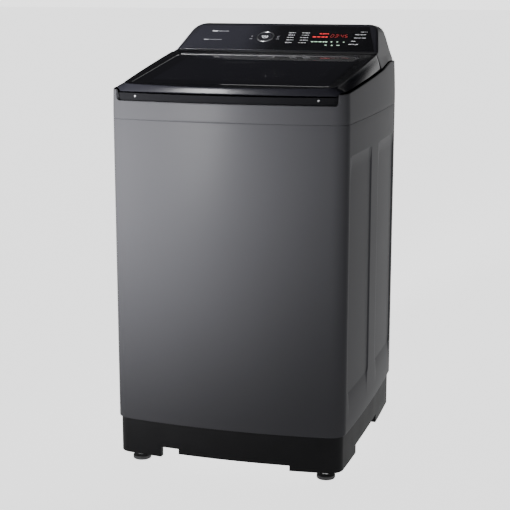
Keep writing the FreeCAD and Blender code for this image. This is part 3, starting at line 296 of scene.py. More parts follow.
def finish_piece(name, bm, material, body="cabinet", stands_for=(), sharp=35, weld=WELD):
    """Weld, turn the faces outwards, shade smoothly up to an angle, and fix the piece to its body."""
    bmesh.ops.remove_doubles(bm, verts=bm.verts, dist=weld)
    bmesh.ops.dissolve_degenerate(bm, edges=bm.edges, dist=weld)
    bmesh.ops.recalc_face_normals(bm, faces=bm.faces)
    for face in bm.faces:
        face.smooth = True
    for edge in bm.edges:
        edge.smooth = len(edge.link_faces) == 2 and edge.calc_face_angle(0) < math.radians(sharp)
    mesh = bpy.data.meshes.new(name)
    bm.to_mesh(mesh)
    bm.free()
    mesh.materials.append(material)
    piece = bpy.data.objects.new(name, mesh)
    bpy.context.scene.collection.objects.link(piece)
    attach(piece, body)
    if stands_for:
        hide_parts(*stands_for)
    return piece


def aim(angle):
    """Unit vector in plan at an angle."""
    return Vector((math.cos(angle), math.sin(angle)))


class Plan:
    """The cabinet's plan outline as arcs, so that any inset keeps the same points."""

    def __init__(self, front_steps, corner_steps, side_steps):
        front_r = ((HALF_W - SIDE_BOW) ** 2 + FRONT_BOW ** 2) / (2 * FRONT_BOW)
        side_r = (HALF_D ** 2 + SIDE_BOW ** 2) / (2 * SIDE_BOW)
        front, side = Vector((0, front_r - HALF_D)), Vector((HALF_W - side_r, 0))
        gap = side - front
        near, far = front_r - FRONT_CORNER, side_r - FRONT_CORNER
        along = (gap.length_squared + near ** 2 - far ** 2) / (2 * gap.length)
        away = math.sqrt(near ** 2 - along ** 2)
        unit = gap.normalized()
        corner = front + unit * along + Vector((unit.y, -unit.x)) * away
        if corner.x < 0:
            corner = front + unit * along - Vector((unit.y, -unit.x)) * away
        back_y = HALF_D - REAR_CORNER
        back = Vector((side.x + math.sqrt((side_r - REAR_CORNER) ** 2 - back_y ** 2), back_y))
        turn = math.atan2((corner - front).y, (corner - front).x)
        turn_side = math.atan2((corner - side).y, (corner - side).x)
        turn_back = math.atan2((back - side).y, (back - side).x)
        self.edge = back.x
        arcs = [(front, front_r, -math.pi / 2, turn, front_steps),
                (corner, FRONT_CORNER, turn, turn_side, corner_steps),
                (side, side_r, turn_side, turn_back, side_steps),
                (back, REAR_CORNER, turn_back, math.pi / 2, corner_steps)]
        self.right = []
        for centre, radius, start, end, steps in arcs:
            for step in range(steps):
                angle = start + (end - start) * step / steps
                self.right.append((centre, radius, angle))

    def mirrored(self, inset, back_xs):
        """The right side at an inset, then the back's places, with the same again on the left."""
        right = [centre + aim(angle) * (radius - inset) for centre, radius, angle in self.right]
        right += [Vector((x, HALF_D - inset)) for x in back_xs]
        left = [Vector((-spot.x, spot.y)) for spot in right[1:]]
        return left[::-1] + right

    def open_ring(self, inset, back_reach):
        """From the back's right flange round the front to its left flange."""
        steps = 6
        back_xs = [self.edge + (back_reach - self.edge) * i / steps for i in range(steps + 1)]
        return self.mirrored(inset, back_xs)

    def ring(self, inset):
        """The whole outline, closed, starting and ending at the back's middle."""
        steps = 12
        return self.mirrored(inset, [self.edge * (1 - i / steps) for i in range(steps + 1)])


def pressed_depth(y, z, blocks, edge):
    """How far the steel is pushed in at a place: 0 outside the blocks, 1 inside, soft between."""
    depth = 0.0
    for low_y, high_y, low_z, high_z, radius in blocks:
        dx = max(low_y + radius - y, y - high_y + radius)
        dz = max(low_z + radius - z, z - high_z + radius)
        outside = math.hypot(max(dx, 0), max(dz, 0)) + min(max(dx, dz), 0) - radius
        depth = max(depth, 1 - smooth(-edge, 0, outside))
    return depth


def spread(low, high, steps):
    """Evenly spaced places from low to high, both included."""
    return [low + (high - low) * i / steps for i in range(steps + 1)]


def close_holes(bm):
    """Weld the seam and close whatever is still open."""
    bmesh.ops.remove_doubles(bm, verts=bm.verts, dist=WELD)
    bmesh.ops.holes_fill(bm, edges=[edge for edge in bm.edges if edge.is_boundary])


def tempered_glass():
    """Dark tinted pane with a black printed border, measured in the lid's own plane."""
    clear_half, clear_middle, clear_reach = 0.186, 0.168, 0.116
    finish = Finish("tempered_glass", roughness=0.03, coat_weight=0.25, coat_roughness=0.02,
                    specular_ior_level=0.25)
    lid_front = (0, LID_FRONT_Y, LID_FRONT_Z)
    level = finish.add("VectorRotate", {"rotation_type": "X_AXIS"},
                       {"Vector": finish.place(), "Center": lid_front, "Angle": -LID_TILT})
    split = finish.add("SeparateXYZ", inputs={0: level.out()})
    across, up = split.out("X").math("ABSOLUTE"), split.out("Y") - LID_FRONT_Y
    side = across - clear_half
    ends = (up - clear_middle).math("ABSOLUTE") - clear_reach
    edge = side.math("MAXIMUM", ends)
    printed = edge > 0
    dots = finish.add("TexVoronoi", {}, {"Vector": finish.place(), "Scale": 260.0, "Randomness": 0.0})
    fade = ((edge + 0.008) * 125).math("MULTIPLY", 1.0, clamp=True)
    cover = printed.math("MAXIMUM", dots.out("Distance") < (fade * 0.52))
    finish.color(cover, (0.012, 0.012, 0.016), (0.004, 0.004, 0.005))
    finish.set("Alpha", cover * 0.1 + 0.9)
    finish.set("Roughness", finish.noise(30, 3.0) * 0.03 + 0.015)
    return finish.material


def panel_film():
    """Printed film over the controls: black, with a painted reflection that leaves it lighter on the left and
    darker to the right, under a clear coat.
    """
    finish = Finish("panel_film", roughness=0.12, coat_weight=0.15, coat_roughness=0.03,
                    specular_ior_level=0.2)
    x, _, _ = finish.axes()
    # Painted reflection: the film's colour fades from lighter on the left to darker on the right.
    shade = ((x + 0.09) * 12).math("MULTIPLY", 1.0, clamp=True)
    finish.color(shade, (0.011, 0.011, 0.014), (0.0035, 0.0035, 0.004))
    finish.set("Roughness", finish.noise(50, 2.0) * 0.04 + 0.1)
    finish.bump(finish.noise(90, 1.0), 0.02, 0.0002)
    return finish.material


def glowing(name, color, strength):
    """Lit segments and lamps behind the film, and a painted glow for printed marks and caps, which are no
    lamps.
    """
    finish = Finish(name, color, roughness=0.35)
    cells = finish.noise(900, 1.0)
    finish.set("Emission Color", finish.blend_colors(cells, tuple(c * 0.8 for c in color), color))
    finish.shader.inputs["Emission Strength"].default_value = strength
    return finish.material


def circuit_board():
    """Green board with a faint grid of tracks."""
    finish = Finish("circuit_board", roughness=0.4, coat_weight=0.4)
    tracks = finish.add("TexBrick", {}, {"Vector": finish.place(), "Scale": 90.0, "Mortar Size": 0.03})
    tracks = tracks.out("Fac")
    finish.color(tracks, (0.01, 0.09, 0.035), (0.02, 0.17, 0.07))
    finish.set("Roughness", tracks * 0.2 + 0.3)
    return finish.material


def wound_core():
    """Laminated iron with copper windings in slots round its axis."""
    finish = Finish("wound_core", metallic=0.85, roughness=0.4)
    x, y, z = finish.axes()
    angle = (y + 0.012).math("ARCTAN2", x)
    slots = (angle * 36).math("SINE") > 0
    layers = (z * 3600).math("SINE") * 0.5 + 0.5
    finish.color(slots, (0.19, 0.19, 0.2), (0.5, 0.2, 0.08))
    finish.set("Roughness", layers * 0.2 + 0.3)
    finish.bump(layers, 0.3, 0.0004)
    return finish.material


def pierced_steel():
    """Polished basket steel with rows of small round holes between the pressed columns; the holes are painted
    near-black, a painted shade for the dark gap seen through them.
    """
    finish = Finish("pierced_steel", metallic=1.0, roughness=0.24)
    x, y, z = finish.axes()
    turn = (y + 0.012).math("ARCTAN2", x) * 90
    rise = z * (math.tau / 0.0130)
    level = turn.math("COSINE") + rise.math("COSINE")
    middle = (z > 0.262).math("MULTIPLY", z < 0.700)
    shaded_hole = (level > 1.55).math("MULTIPLY", middle)
    brushed = finish.noise(60, 3.0, (1, 1, 0.05))
    steel = finish.blend_colors(brushed, (0.50, 0.51, 0.53), (0.66, 0.67, 0.68))
    # The holes are painted near-black: painted shade for the dark gap behind them.
    finish.color(shaded_hole, steel, (0.01, 0.01, 0.01))
    finish.set("Roughness", brushed * 0.12 + 0.2)
    finish.bump(1 - shaded_hole, 0.6, 0.0006)
    return finish.material


GRAPHITE = graphite_paint()
ZINC = galvanised_steel()
BASE_BLACK = textured_plastic("base_plastic", (0.0055, 0.0055, 0.0058), (0.0085, 0.0085, 0.009),
                              rough=0.5, shine=0.015)
DECK_BLACK = textured_plastic("deck_plastic", (0.003, 0.003, 0.0034), (0.005, 0.005, 0.0056),
                              rough=0.45, shine=0.0)
LID_BLACK = gloss_plastic("lid_gloss", (0.004, 0.004, 0.0052), (0.0062, 0.0062, 0.008),
                          rough=0.24, coat=0.008, shine=0.02)
CONSOLE_BLACK = gloss_plastic("console_plastic", (0.007, 0.007, 0.0085), (0.012, 0.0116, 0.0145),
                              rough=0.32, coat=0.006, shine=0.012)
KEY_BLACK = gloss_plastic("key_plastic", (0.006, 0.006, 0.007), (0.01, 0.01, 0.012), rough=0.2)
PANE = tempered_glass()
FILM = panel_film()
SATIN_TRIM = gloss_plastic("satin_trim", (0.008, 0.008, 0.009), (0.013, 0.013, 0.0145),
                           rough=0.26, coat=0.008, shine=0.06)
RING_CHROME = brushed_metal("ring_chrome", (0.30, 0.30, 0.31), (0.42, 0.42, 0.44), (30, 30, 30), 0.28)
SCREW_STEEL = brushed_metal("screw_steel", (0.42, 0.42, 0.43), (0.6, 0.6, 0.6), (20, 20, 20), 0.32)
DRUM_STEEL = brushed_metal("drum_steel", (0.52, 0.53, 0.55), (0.68, 0.69, 0.7), (1, 1, 30), 0.24)
DRUM_HOLES = pierced_steel()
SHAFT_STEEL = brushed_metal("shaft_steel", (0.45, 0.45, 0.46), (0.62, 0.62, 0.63), (1, 1, 80), 0.22)
CAST_ALUMINIUM = textured_plastic("cast_aluminium", (0.30, 0.305, 0.31), (0.42, 0.42, 0.43), 240, 0.45, 0.4)
RUBBER = rubber()
TUB_GREY = textured_plastic("tub_plastic", (0.30, 0.31, 0.32), (0.38, 0.385, 0.39), 500, 0.5, 0.2)
VALVE_WHITE = textured_plastic("valve_plastic", (0.58, 0.58, 0.56), (0.68, 0.68, 0.66), 500, 0.42, 0.15)
PULSATOR_GREY = textured_plastic("pulsator_plastic", (0.26, 0.27, 0.285), (0.33, 0.335, 0.35),
                                 420, 0.38, 0.15)
DRAWER_GREY = textured_plastic("drawer_plastic", (0.12, 0.12, 0.125), (0.17, 0.17, 0.175), 420, 0.42, 0.15)
BOARD_GREEN = circuit_board()
WINDINGS = wound_core()
# Printed legends and marks get a faint emission: a painted glow, since print is no lamp.
GLOWING_PRINT_WHITE = glowing("glowing_print_white", (0.34, 0.34, 0.36), 0.12)
GLOWING_PRINT_GREY = glowing("glowing_print_grey", (0.10, 0.10, 0.11), 0.04)
LAMP_RED = glowing("lamp_red", (0.55, 0.02, 0.022), 0.4)
LAMP_DIM = glowing("lamp_dim", (0.16, 0.01, 0.01), 0.12)
CAP_GREY = textured_plastic("cap_grey", (0.035, 0.035, 0.037), (0.05, 0.05, 0.053), 300, 0.35, 0.1)
LAMP_GREEN = glowing("lamp_green", (0.5, 0.72, 0.55), 0.3)

# The exact parts: their material, and the size of the small bevel on their edges.
KEPT_PARTS = [
    (GRAPHITE, 0.4, "cabinet_shell"),
    (GRAPHITE, 1.0, "top_cover"),
    (ZINC, 0.3, "rear_panel corner_brackets"),
    (SCREW_STEEL, 0.3, "rear_screws"),
    (SCREW_STEEL, 0.4, "rotor_nut pulsator_screw"),
    (BASE_BLACK, 0.8, "base_frame"),
    (DECK_BLACK, 0.5, "hinge_posts lid_inner_frame"),
    (DECK_BLACK, 0.8, "inner_frame"),
    # The front caps take the grey print's emission: a painted glow, they are no lamps.
    (GLOWING_PRINT_GREY, 0.4, "front_caps"),
    (LID_BLACK, 1.0, "lid_frame"),
    (PANE, 0.4, "lid_glass"),
    (SATIN_TRIM, 0.5, "lid_trim_bar"),
    (SHAFT_STEEL, 0, "suspension_springs"),
    (SHAFT_STEEL, 0.3, "lid_hinge_pins suspension_rods spin_tube"),
    (SHAFT_STEEL, 0.4, "lid_lock_bolt pulsator_shaft"),
    (SHAFT_STEEL, 0.5, "upper_bearing lower_bearing"),
    (CONSOLE_BLACK, 1.5, "console_housing"),
    (FILM, 0.2, "display_window"),
    (FILM, 0.4, "control_panel"),
    (KEY_BLACK, 0.3, "power_key hold_key"),
    (KEY_BLACK, 0.5, "start_button"),
    (RING_CHROME, 0.4, "start_ring"),
    (BOARD_GREEN, 0.3, "control_board"),
    (VALVE_WHITE, 0.5, "pressure_switch lid_lock"),
    (VALVE_WHITE, 0.6, "inlet_valve drain_pump"),
    (RUBBER, 0.4, "tub_seal"),
    (RUBBER, 0.5, "cord_gland"),
    (RUBBER, 0.6, "foot_front_left foot_front_right foot_rear_left foot_rear_right"),
    (DRAWER_GREY, 0.4, "dispenser_box"),
    (DRAWER_GREY, 0.5, "detergent_drawer drain_outlet lint_filter"),
    (PULSATOR_GREY, 0.4, "rod_seats suspension_cups"),
    (PULSATOR_GREY, 0.8, "pulsator_cap"),
    (PULSATOR_GREY, 1.0, "pulsator"),
    (TUB_GREY, 0.5, "tub_cover"),
    (TUB_GREY, 0.6, "outer_tub"),
    (TUB_GREY, 1.2, "balance_ring"),
    (CAST_ALUMINIUM, 0.6, "rotor basket_hub"),
    (CAST_ALUMINIUM, 0.8, "drive_housing"),
    (WINDINGS, 0.5, "stator"),
    (DRUM_STEEL, 0.4, "wash_basket"),
]


def finish_kept_part(name, material, bevel):
    """Weld the part's triangles for display and soften its edges without touching its mesh."""
    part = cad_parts[name]
    part.data.materials.clear()
    part.data.materials.append(material)
    weld = part.modifiers.new("weld", "WELD")
    weld.merge_threshold = 0.00002
    if bevel:
        edge = part.modifiers.new("edge", "BEVEL")
        edge.limit_method, edge.angle_limit = "ANGLE", math.radians(32)
        edge.width, edge.segments = bevel * MM * 0.5, 2
        edge.use_clamp_overlap = True
        edge.harden_normals = False
    for polygon in part.data.polygons:
        polygon.use_smooth = True
    smooth_by = part.modifiers.new("flat", "WEIGHTED_NORMAL")
    smooth_by.keep_sharp = True


for part_material, part_bevel, part_names in KEPT_PARTS:
    for part_name in part_names.split():
        finish_kept_part(part_name, part_material, part_bevel)


# ---------------------------------------------------------------- painted steel

def fine_steps(low, high, marks, coarse, fine, reach):
    """Places from low to high, close together near each mark."""
    places = [low]
    while places[-1] < high - fine * 0.5:
        near = any(abs(places[-1] - mark) < reach for mark in marks)
        places.append(places[-1] + (fine if near else coarse))
    places[-1] = high
    return places


PRESS_LOW, PRESS_HIGH = BASE_TOP + 82 * MM, SEAM - 69 * MM
PRESSED = [(55 * MM - HALF_D, -30 * MM, PRESS_LOW, PRESS_HIGH, 20 * MM),
           (45 * MM, HALF_D - 36 * MM, PRESS_LOW, PRESS_HIGH, 20 * MM)]
PRESS_DEPTH = 2.4 * MM


def cabinet_skin():
    """Wrapped steel shell with two soft-edged pressed panels on each side."""
    front_steps, corner_steps, side_steps = 40, 12, 40
    coarse_y, coarse_z, fine, reach = 12 * MM, 28 * MM, 2.2 * MM, 23 * MM
    wall, hem_rise = 1.2 * MM, 1.6 * MM
    plan = Plan(front_steps, corner_steps, side_steps)
    marks = [edge for block in PRESSED for edge in block[:2]]
    side_start = front_steps + corner_steps
    side_end = side_start + side_steps
    centre, radius, start = plan.right[side_start]
    low_y = centre.y + radius * math.sin(start)
    ys = fine_steps(low_y, HALF_D - REAR_CORNER, marks, coarse_y, fine, reach)[:-1]
    side = [(centre, radius, math.asin((y - centre.y) / radius)) for y in ys]
    plan.right = plan.right[:side_start] + side + plan.right[side_end:]
    zs = fine_steps(BASE_TOP + hem_rise, SEAM - hem_rise, [PRESS_LOW, PRESS_HIGH], coarse_z, fine, reach)
    hem = [(0, 1.2), (0.1, 0.6), (0.5, 0.15)]
    section = [(BASE_TOP + up * MM, inset * MM) for up, inset in hem] + [(z, 0) for z in zs]
    section += [(SEAM - up * MM, inset * MM) for up, inset in reversed(hem)]
    section += [(z, wall) for z in reversed(zs)] + [section[0]]
    rows = []
    for z, inset in section:
        row = []
        for spot in plan.open_ring(inset, HALF_W - 45 * MM):
            on_side = abs(spot.x) > HALF_W - 12 * MM
            pressed = pressed_depth(spot.y, z, PRESSED, 5 * MM) if on_side else 0
            row.append(Vector((spot.x - math.copysign(PRESS_DEPTH, spot.x) * pressed, spot.y, z)))
        rows.append(row)
    bm = grid_piece(rows)
    close_holes(bm)
    finish_piece("cabinet_skin", bm, GRAPHITE, stands_for=("cabinet_shell",), sharp=50)


def cover_skin():
    """Top cover: low rounded ledge in front, wings that climb to the back, a folded rim all round."""
    front_steps = 60
    plan = Plan(front_steps, 24, 60)
    notch, turn = HALF_W - 21 * MM, 8 * MM

    def in_notch(spot):
        return spot.y < -HALF_D + 60 * MM and abs(spot.x) < notch

    def rim_height(spot):
        if in_notch(spot):
            past = max(0, abs(spot.x) - (notch - turn))
            return LEDGE + turn - math.sqrt(turn ** 2 - min(past, turn) ** 2)
        if spot.y > HALF_D - 3 * MM and abs(spot.x) < HALF_W - 30 * MM:
            return SEAM + 96 * MM
        return wing_top(spot.y)

    corner, radius, _ = plan.right[front_steps]
    split = -math.acos((notch - corner.x) / radius)
    cut_at = next(i for i, item in enumerate(plan.right) if item[0] == corner and item[2] > split)
    sliver = 0.0006
    plan.right[cut_at:cut_at] = [(corner, radius, split - sliver), (corner, radius, split + sliver)]
    outer_ring = plan.ring(0)
    front = [in_notch(spot) for spot in outer_ring]
    heights = [rim_height(spot) for spot in outer_ring]
    folds = {"rim": {True: 7.6, False: 2.3}, "lip": {True: 8.4, False: 2.9}}
    section = [(1.2, "low", 0), (0.5, "low", 0.15), (0.1, "low", 0.6), (0, "low", 1.6)]
    section += [(0, "part", t) for t in (0.15, 0.35, 0.55, 0.75, 0.9)]
    section += [(0, "top", 2.0), (0.12, "top", 1.3), (0.5, "top", 0.6), (1.1, "top", 0.15), (1.8, "top", 0)]
    section += [("rim", "top", 0), ("lip", "top", 0.5), ("lip", "top", 2.6), (2.9, "top", 2.7), (3, "top", 4)]
    section += [(3, "low", 0.4), (1.2, "low", 0)]
    rings = {}
    rows = []
    for inset, kind, up in section:
        row = []
        for index, height in enumerate(heights):
            wall = folds[inset][front[index]] if inset in folds else inset
            if kind == "low":
                z = SEAM + up * MM
            elif kind == "part":
                z = SEAM + 2 * MM + (height - SEAM - 4 * MM) * up
            else:
                z = height - up * MM
            if wall not in rings:
                rings[wall] = plan.ring(wall * MM)
            spot = rings[wall][index]
            lean = 1 - 0.012 * max(0, (z - SEAM - 12 * MM) / (92 * MM)) ** 1.5
            row.append(Vector((spot.x * lean, spot.y, z)))
        rows.append(row)
    finish_piece("cover_skin", grid_piece(rows), GRAPHITE, stands_for=("top_cover",),
                 sharp=38)


# ---------------------------------------------------------------- lid

def lid_point(x, up, off):
    """A place in the lid's own plane: across, up the slope, and above its surface."""
    return Vector((x, LID_FRONT_Y + up * math.cos(LID_TILT) - off * math.sin(LID_TILT),
                   LID_FRONT_Z + up * math.sin(LID_TILT) + off * math.cos(LID_TILT)))


GLASS_HALF = HALF_W - 48 * MM
GLASS_LOW = 15 * MM
GLASS_HIGH = (2 * HALF_D - 20 * MM - 190 * MM - 36 * MM) / math.cos(LID_TILT)


def half_window(grow, steps):
    """Right half of the window's outline, from the front's middle to the back's middle."""
    front_n, corner_n, side_n, back_corner_n, back = steps
    half, low, high = GLASS_HALF + grow, GLASS_LOW - grow, GLASS_HIGH + grow
    r = 14 * MM + grow
    spots = [((half - r) * i / front_n, low) for i in range(front_n)]
    for i in range(corner_n):
        a = -math.pi / 2 + math.pi / 2 * i / corner_n
        spots.append((half - r + r * math.cos(a), low + r + r * math.sin(a)))
    spots += [(half, low + r + (high - low - 2 * r) * i / side_n) for i in range(side_n)]
    for i in range(back_corner_n):
        a = math.pi / 2 * i / back_corner_n
        spots.append((half - r + r * math.cos(a), high - r + r * math.sin(a)))
    reach = half - r
    spots += [(reach * x / back[0], high) for x in back]
    return spots


def both_halves(right):
    """Mirror a right half that starts and ends on the middle line into a closed ring."""
    left = [(-x, *rest) for x, *rest in right[1:-1]]
    return [tuple(item) for item in right] + left[::-1] + [tuple(right[0])]


LID_BACK_X = [258, 250, 240, 233.02, 232.98, 225, 217.02, 216.98, 205, 193, 181.02]
LID_BACK_X += [180.98, 180.5, 179, 177, 175, 173, 171, 169.5, 169.02, 168.98, 150, 120, 80, 40, 0]


def lid_shell():
    """Lid moulding: flat top round the pane, slanted sides, front lip, hollow underside."""
    front_n, corner_n, side_n, rear_n = 48, 18, 36, 6
    inset = 9 * MM
    bolt_x, bolt_r = 175 * MM, 6 * MM
    plan = Plan(front_n, corner_n, 40)
    side_start = front_n + corner_n
    outer = [(centre + aim(angle) * (radius - inset), aim(angle))
             for centre, radius, angle in plan.right[:side_start]]
    centre, radius, start = plan.right[side_start]
    end = math.asin((LID_REAR - 3 * MM - centre.y) / radius)
    for i in range(side_n):
        angle = start + (end - start) * i / side_n
        outer.append((centre + aim(angle) * (radius - inset), aim(angle)))
    corner = centre + aim(end) * (radius - inset) - Vector((3 * MM, 0))
    for i in range(rear_n):
        normal = aim(math.pi / 2 * i / rear_n)
        outer.append((corner + normal * 3 * MM, normal))
    outer += [(Vector((min(x * MM, corner.x), LID_REAR)), Vector((0, 1))) for x in LID_BACK_X]
    window = half_window(0.35 * MM, (front_n, corner_n, side_n, rear_n, LID_BACK_X))
    hinge_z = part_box("lid_hinge_pins")[0].z + 2.5 * MM
    bolt_z = hinge_z - 16 * MM

    def low_edge(spot):
        """Lower edge of the skirt, raised over the hinge posts and round the lock bolt."""
        if spot.y > LID_REAR - 0.5 * MM:
            if 217 * MM < abs(spot.x) < 233 * MM:
                return hinge_z + 5.4 * MM
            aside = spot.x - bolt_x
            if abs(aside) < bolt_r:
                return bolt_z + math.sqrt(max(0, bolt_r ** 2 - aside ** 2)) + 0.2 * MM
        wing = wing_top(spot.y) + 1.5 * MM
        lip = SEAM + 59 * MM
        side = smooth(240 * MM, 249 * MM, abs(spot.x)) if spot.y < 0 else 1
        return lip + (wing - lip) * side

    def narrowed(spot):
        """How far the top's outline draws in: more in front than behind."""
        past = max(0, min(1, (spot.y - LID_FRONT_Y) / (LID_REAR - LID_FRONT_Y)))
        return 0.931 + 0.034 * past

    def column(item, pane, mirror):
        """One section of the moulding, from the pane over the rim and back underneath."""
        spot, normal = item
        spot = Vector((spot.x * mirror, spot.y))
        normal = Vector((normal.x * mirror, normal.y))
        x, up = pane[0] * mirror, pane[1]
        low = low_edge(spot)
        rear = smooth(0.7, 1.0, normal.y)
        edge = Vector((spot.x * narrowed(spot), spot.y, 0))
        edge.z = lid_top(edge.y)
        inner = lid_point(x, up, 0)
        flat = edge - inner
        outward = Vector((normal.x, normal.y, 0))
        r = (2.2 + 2.6 * rear) * MM
        points = [lid_point(x, up, -4 * MM), lid_point(x, up, -0.5 * MM)]
        points += [inner + flat.normalized() * 0.5 * MM]
        points += [inner + flat * t for t in (0.25, 0.55, 0.8)]
        rim = edge - outward * r
        rim.z = lid_top(rim.y)
        for turn in (0, 22, 45, 68, 90):
            a = math.radians(turn)
            at = edge - outward * (r * (1 - math.sin(a)))
            at.z = rim.z - r * (1 - math.cos(a))
            points.append(at)
        bottom = Vector((spot.x, spot.y, low + 1.2 * MM))
        top = points[-1]
        for t in (0.3, 0.6, 0.85, 1):
            bulge = math.sin(t * math.pi) * 1.1 * MM * abs(normal.x)
            on_side = [a + (b - a) * t for a, b in zip(top, bottom)]
            points.append(Vector(on_side) + outward * bulge)
        foot = Vector((spot.x, spot.y, low))
        points.append(foot - outward * 0.35 * MM + Vector((0, 0, 0.35 * MM)))
        points.append(foot - outward * 1.2 * MM)
        inside = foot - outward * (2.9 if rear > 0.5 else 5.5) * MM
        widest = HALF_W - 30 * MM
        inside.x = max(-widest, min(widest, inside.x))
        points.append(inside)
        under = inside.copy()
        under.z = max(low, lid_top(under.y) - 4.2 * MM)
        points.append(under)
        points.append(points[0].copy())
        return points

    right = [column(a, b, 1) for a, b in zip(outer, window)]
    left = [column(a, b, -1) for a, b in zip(outer, window)]
    ring = right + left[-2:0:-1] + [right[0]]
    rows = [[line[i] for line in ring] for i in range(len(ring[0]))]
    finish_piece("lid_shell", grid_piece(rows), LID_BLACK, "lid", ("lid_frame",), sharp=40)


def lid_pane():
    """Glass pane with ground edges, flush with the moulding."""
    steps = (40, 12, 40, 12, [x / 20 for x in range(20, -1, -1)])
    edge = [(-0.9, -4), (-0.25, -3.75), (0, -3.1), (0, -0.9), (-0.25, -0.25), (-0.9, 0), (-8, 0.02)]
    rows = []
    for grow, off in edge:
        ring = both_halves(half_window(grow * MM, steps))
        rows.append([lid_point(x, up, off * MM) for x, up in ring])
    bm = grid_piece(rows)
    close_holes(bm)
    finish_piece("lid_pane", bm, PANE, "lid", ("lid_glass",), sharp=50)


def lid_trim():
    """Satin bar behind the pane with two raised ribs."""
    half, low = HALF_W - 54 * MM, GLASS_HIGH + 2 * MM
    section = [(0, 0), (0.1, 1.2), (0.8, 1.9), (1.8, 2), (2.8, 1.9), (3.4, 1.1), (5, 0.9), (8, 0.9),
               (9.6, 1.1),
               (10.2, 1.9), (11.2, 2), (12.2, 1.9), (12.9, 1.2), (13, 0)]
    ends = [(0, 0.0), (0.3, 0.6), (1.2, 0.92), (2.5, 1)]
    stations = [(-half + d * MM, h) for d, h in ends] + [(x * MM, 1) for x in range(-180, 181, 40)]
    stations += [(half - d * MM, h) for d, h in reversed(ends)]
    rows = [[lid_point(x, low + across * MM, height * h * MM) for across, height in section] for x,
            h in stations]
    bm = grid_piece(rows)
    close_holes(bm)
    finish_piece("lid_trim", bm, SATIN_TRIM, "lid", ("lid_trim_bar",), sharp=45)


# ---------------------------------------------------------------- console

def panel_point(x, up, off):
    """A place on the control panel: across, up its slope, and above its surface."""
    return Vector((x, PANEL_Y + up * math.cos(PANEL_TILT) - off * math.sin(PANEL_TILT),
                   PANEL_Z + up * math.sin(PANEL_TILT) + off * math.cos(PANEL_TILT)))


def along(curve, place):
    """Read a curve given as (place, value) pairs."""
    for (a, low), (b, high) in zip(curve, curve[1:]):
        if place <= b:
            return low + (high - low) * (place - a) / (b - a)
    return curve[-1][1]


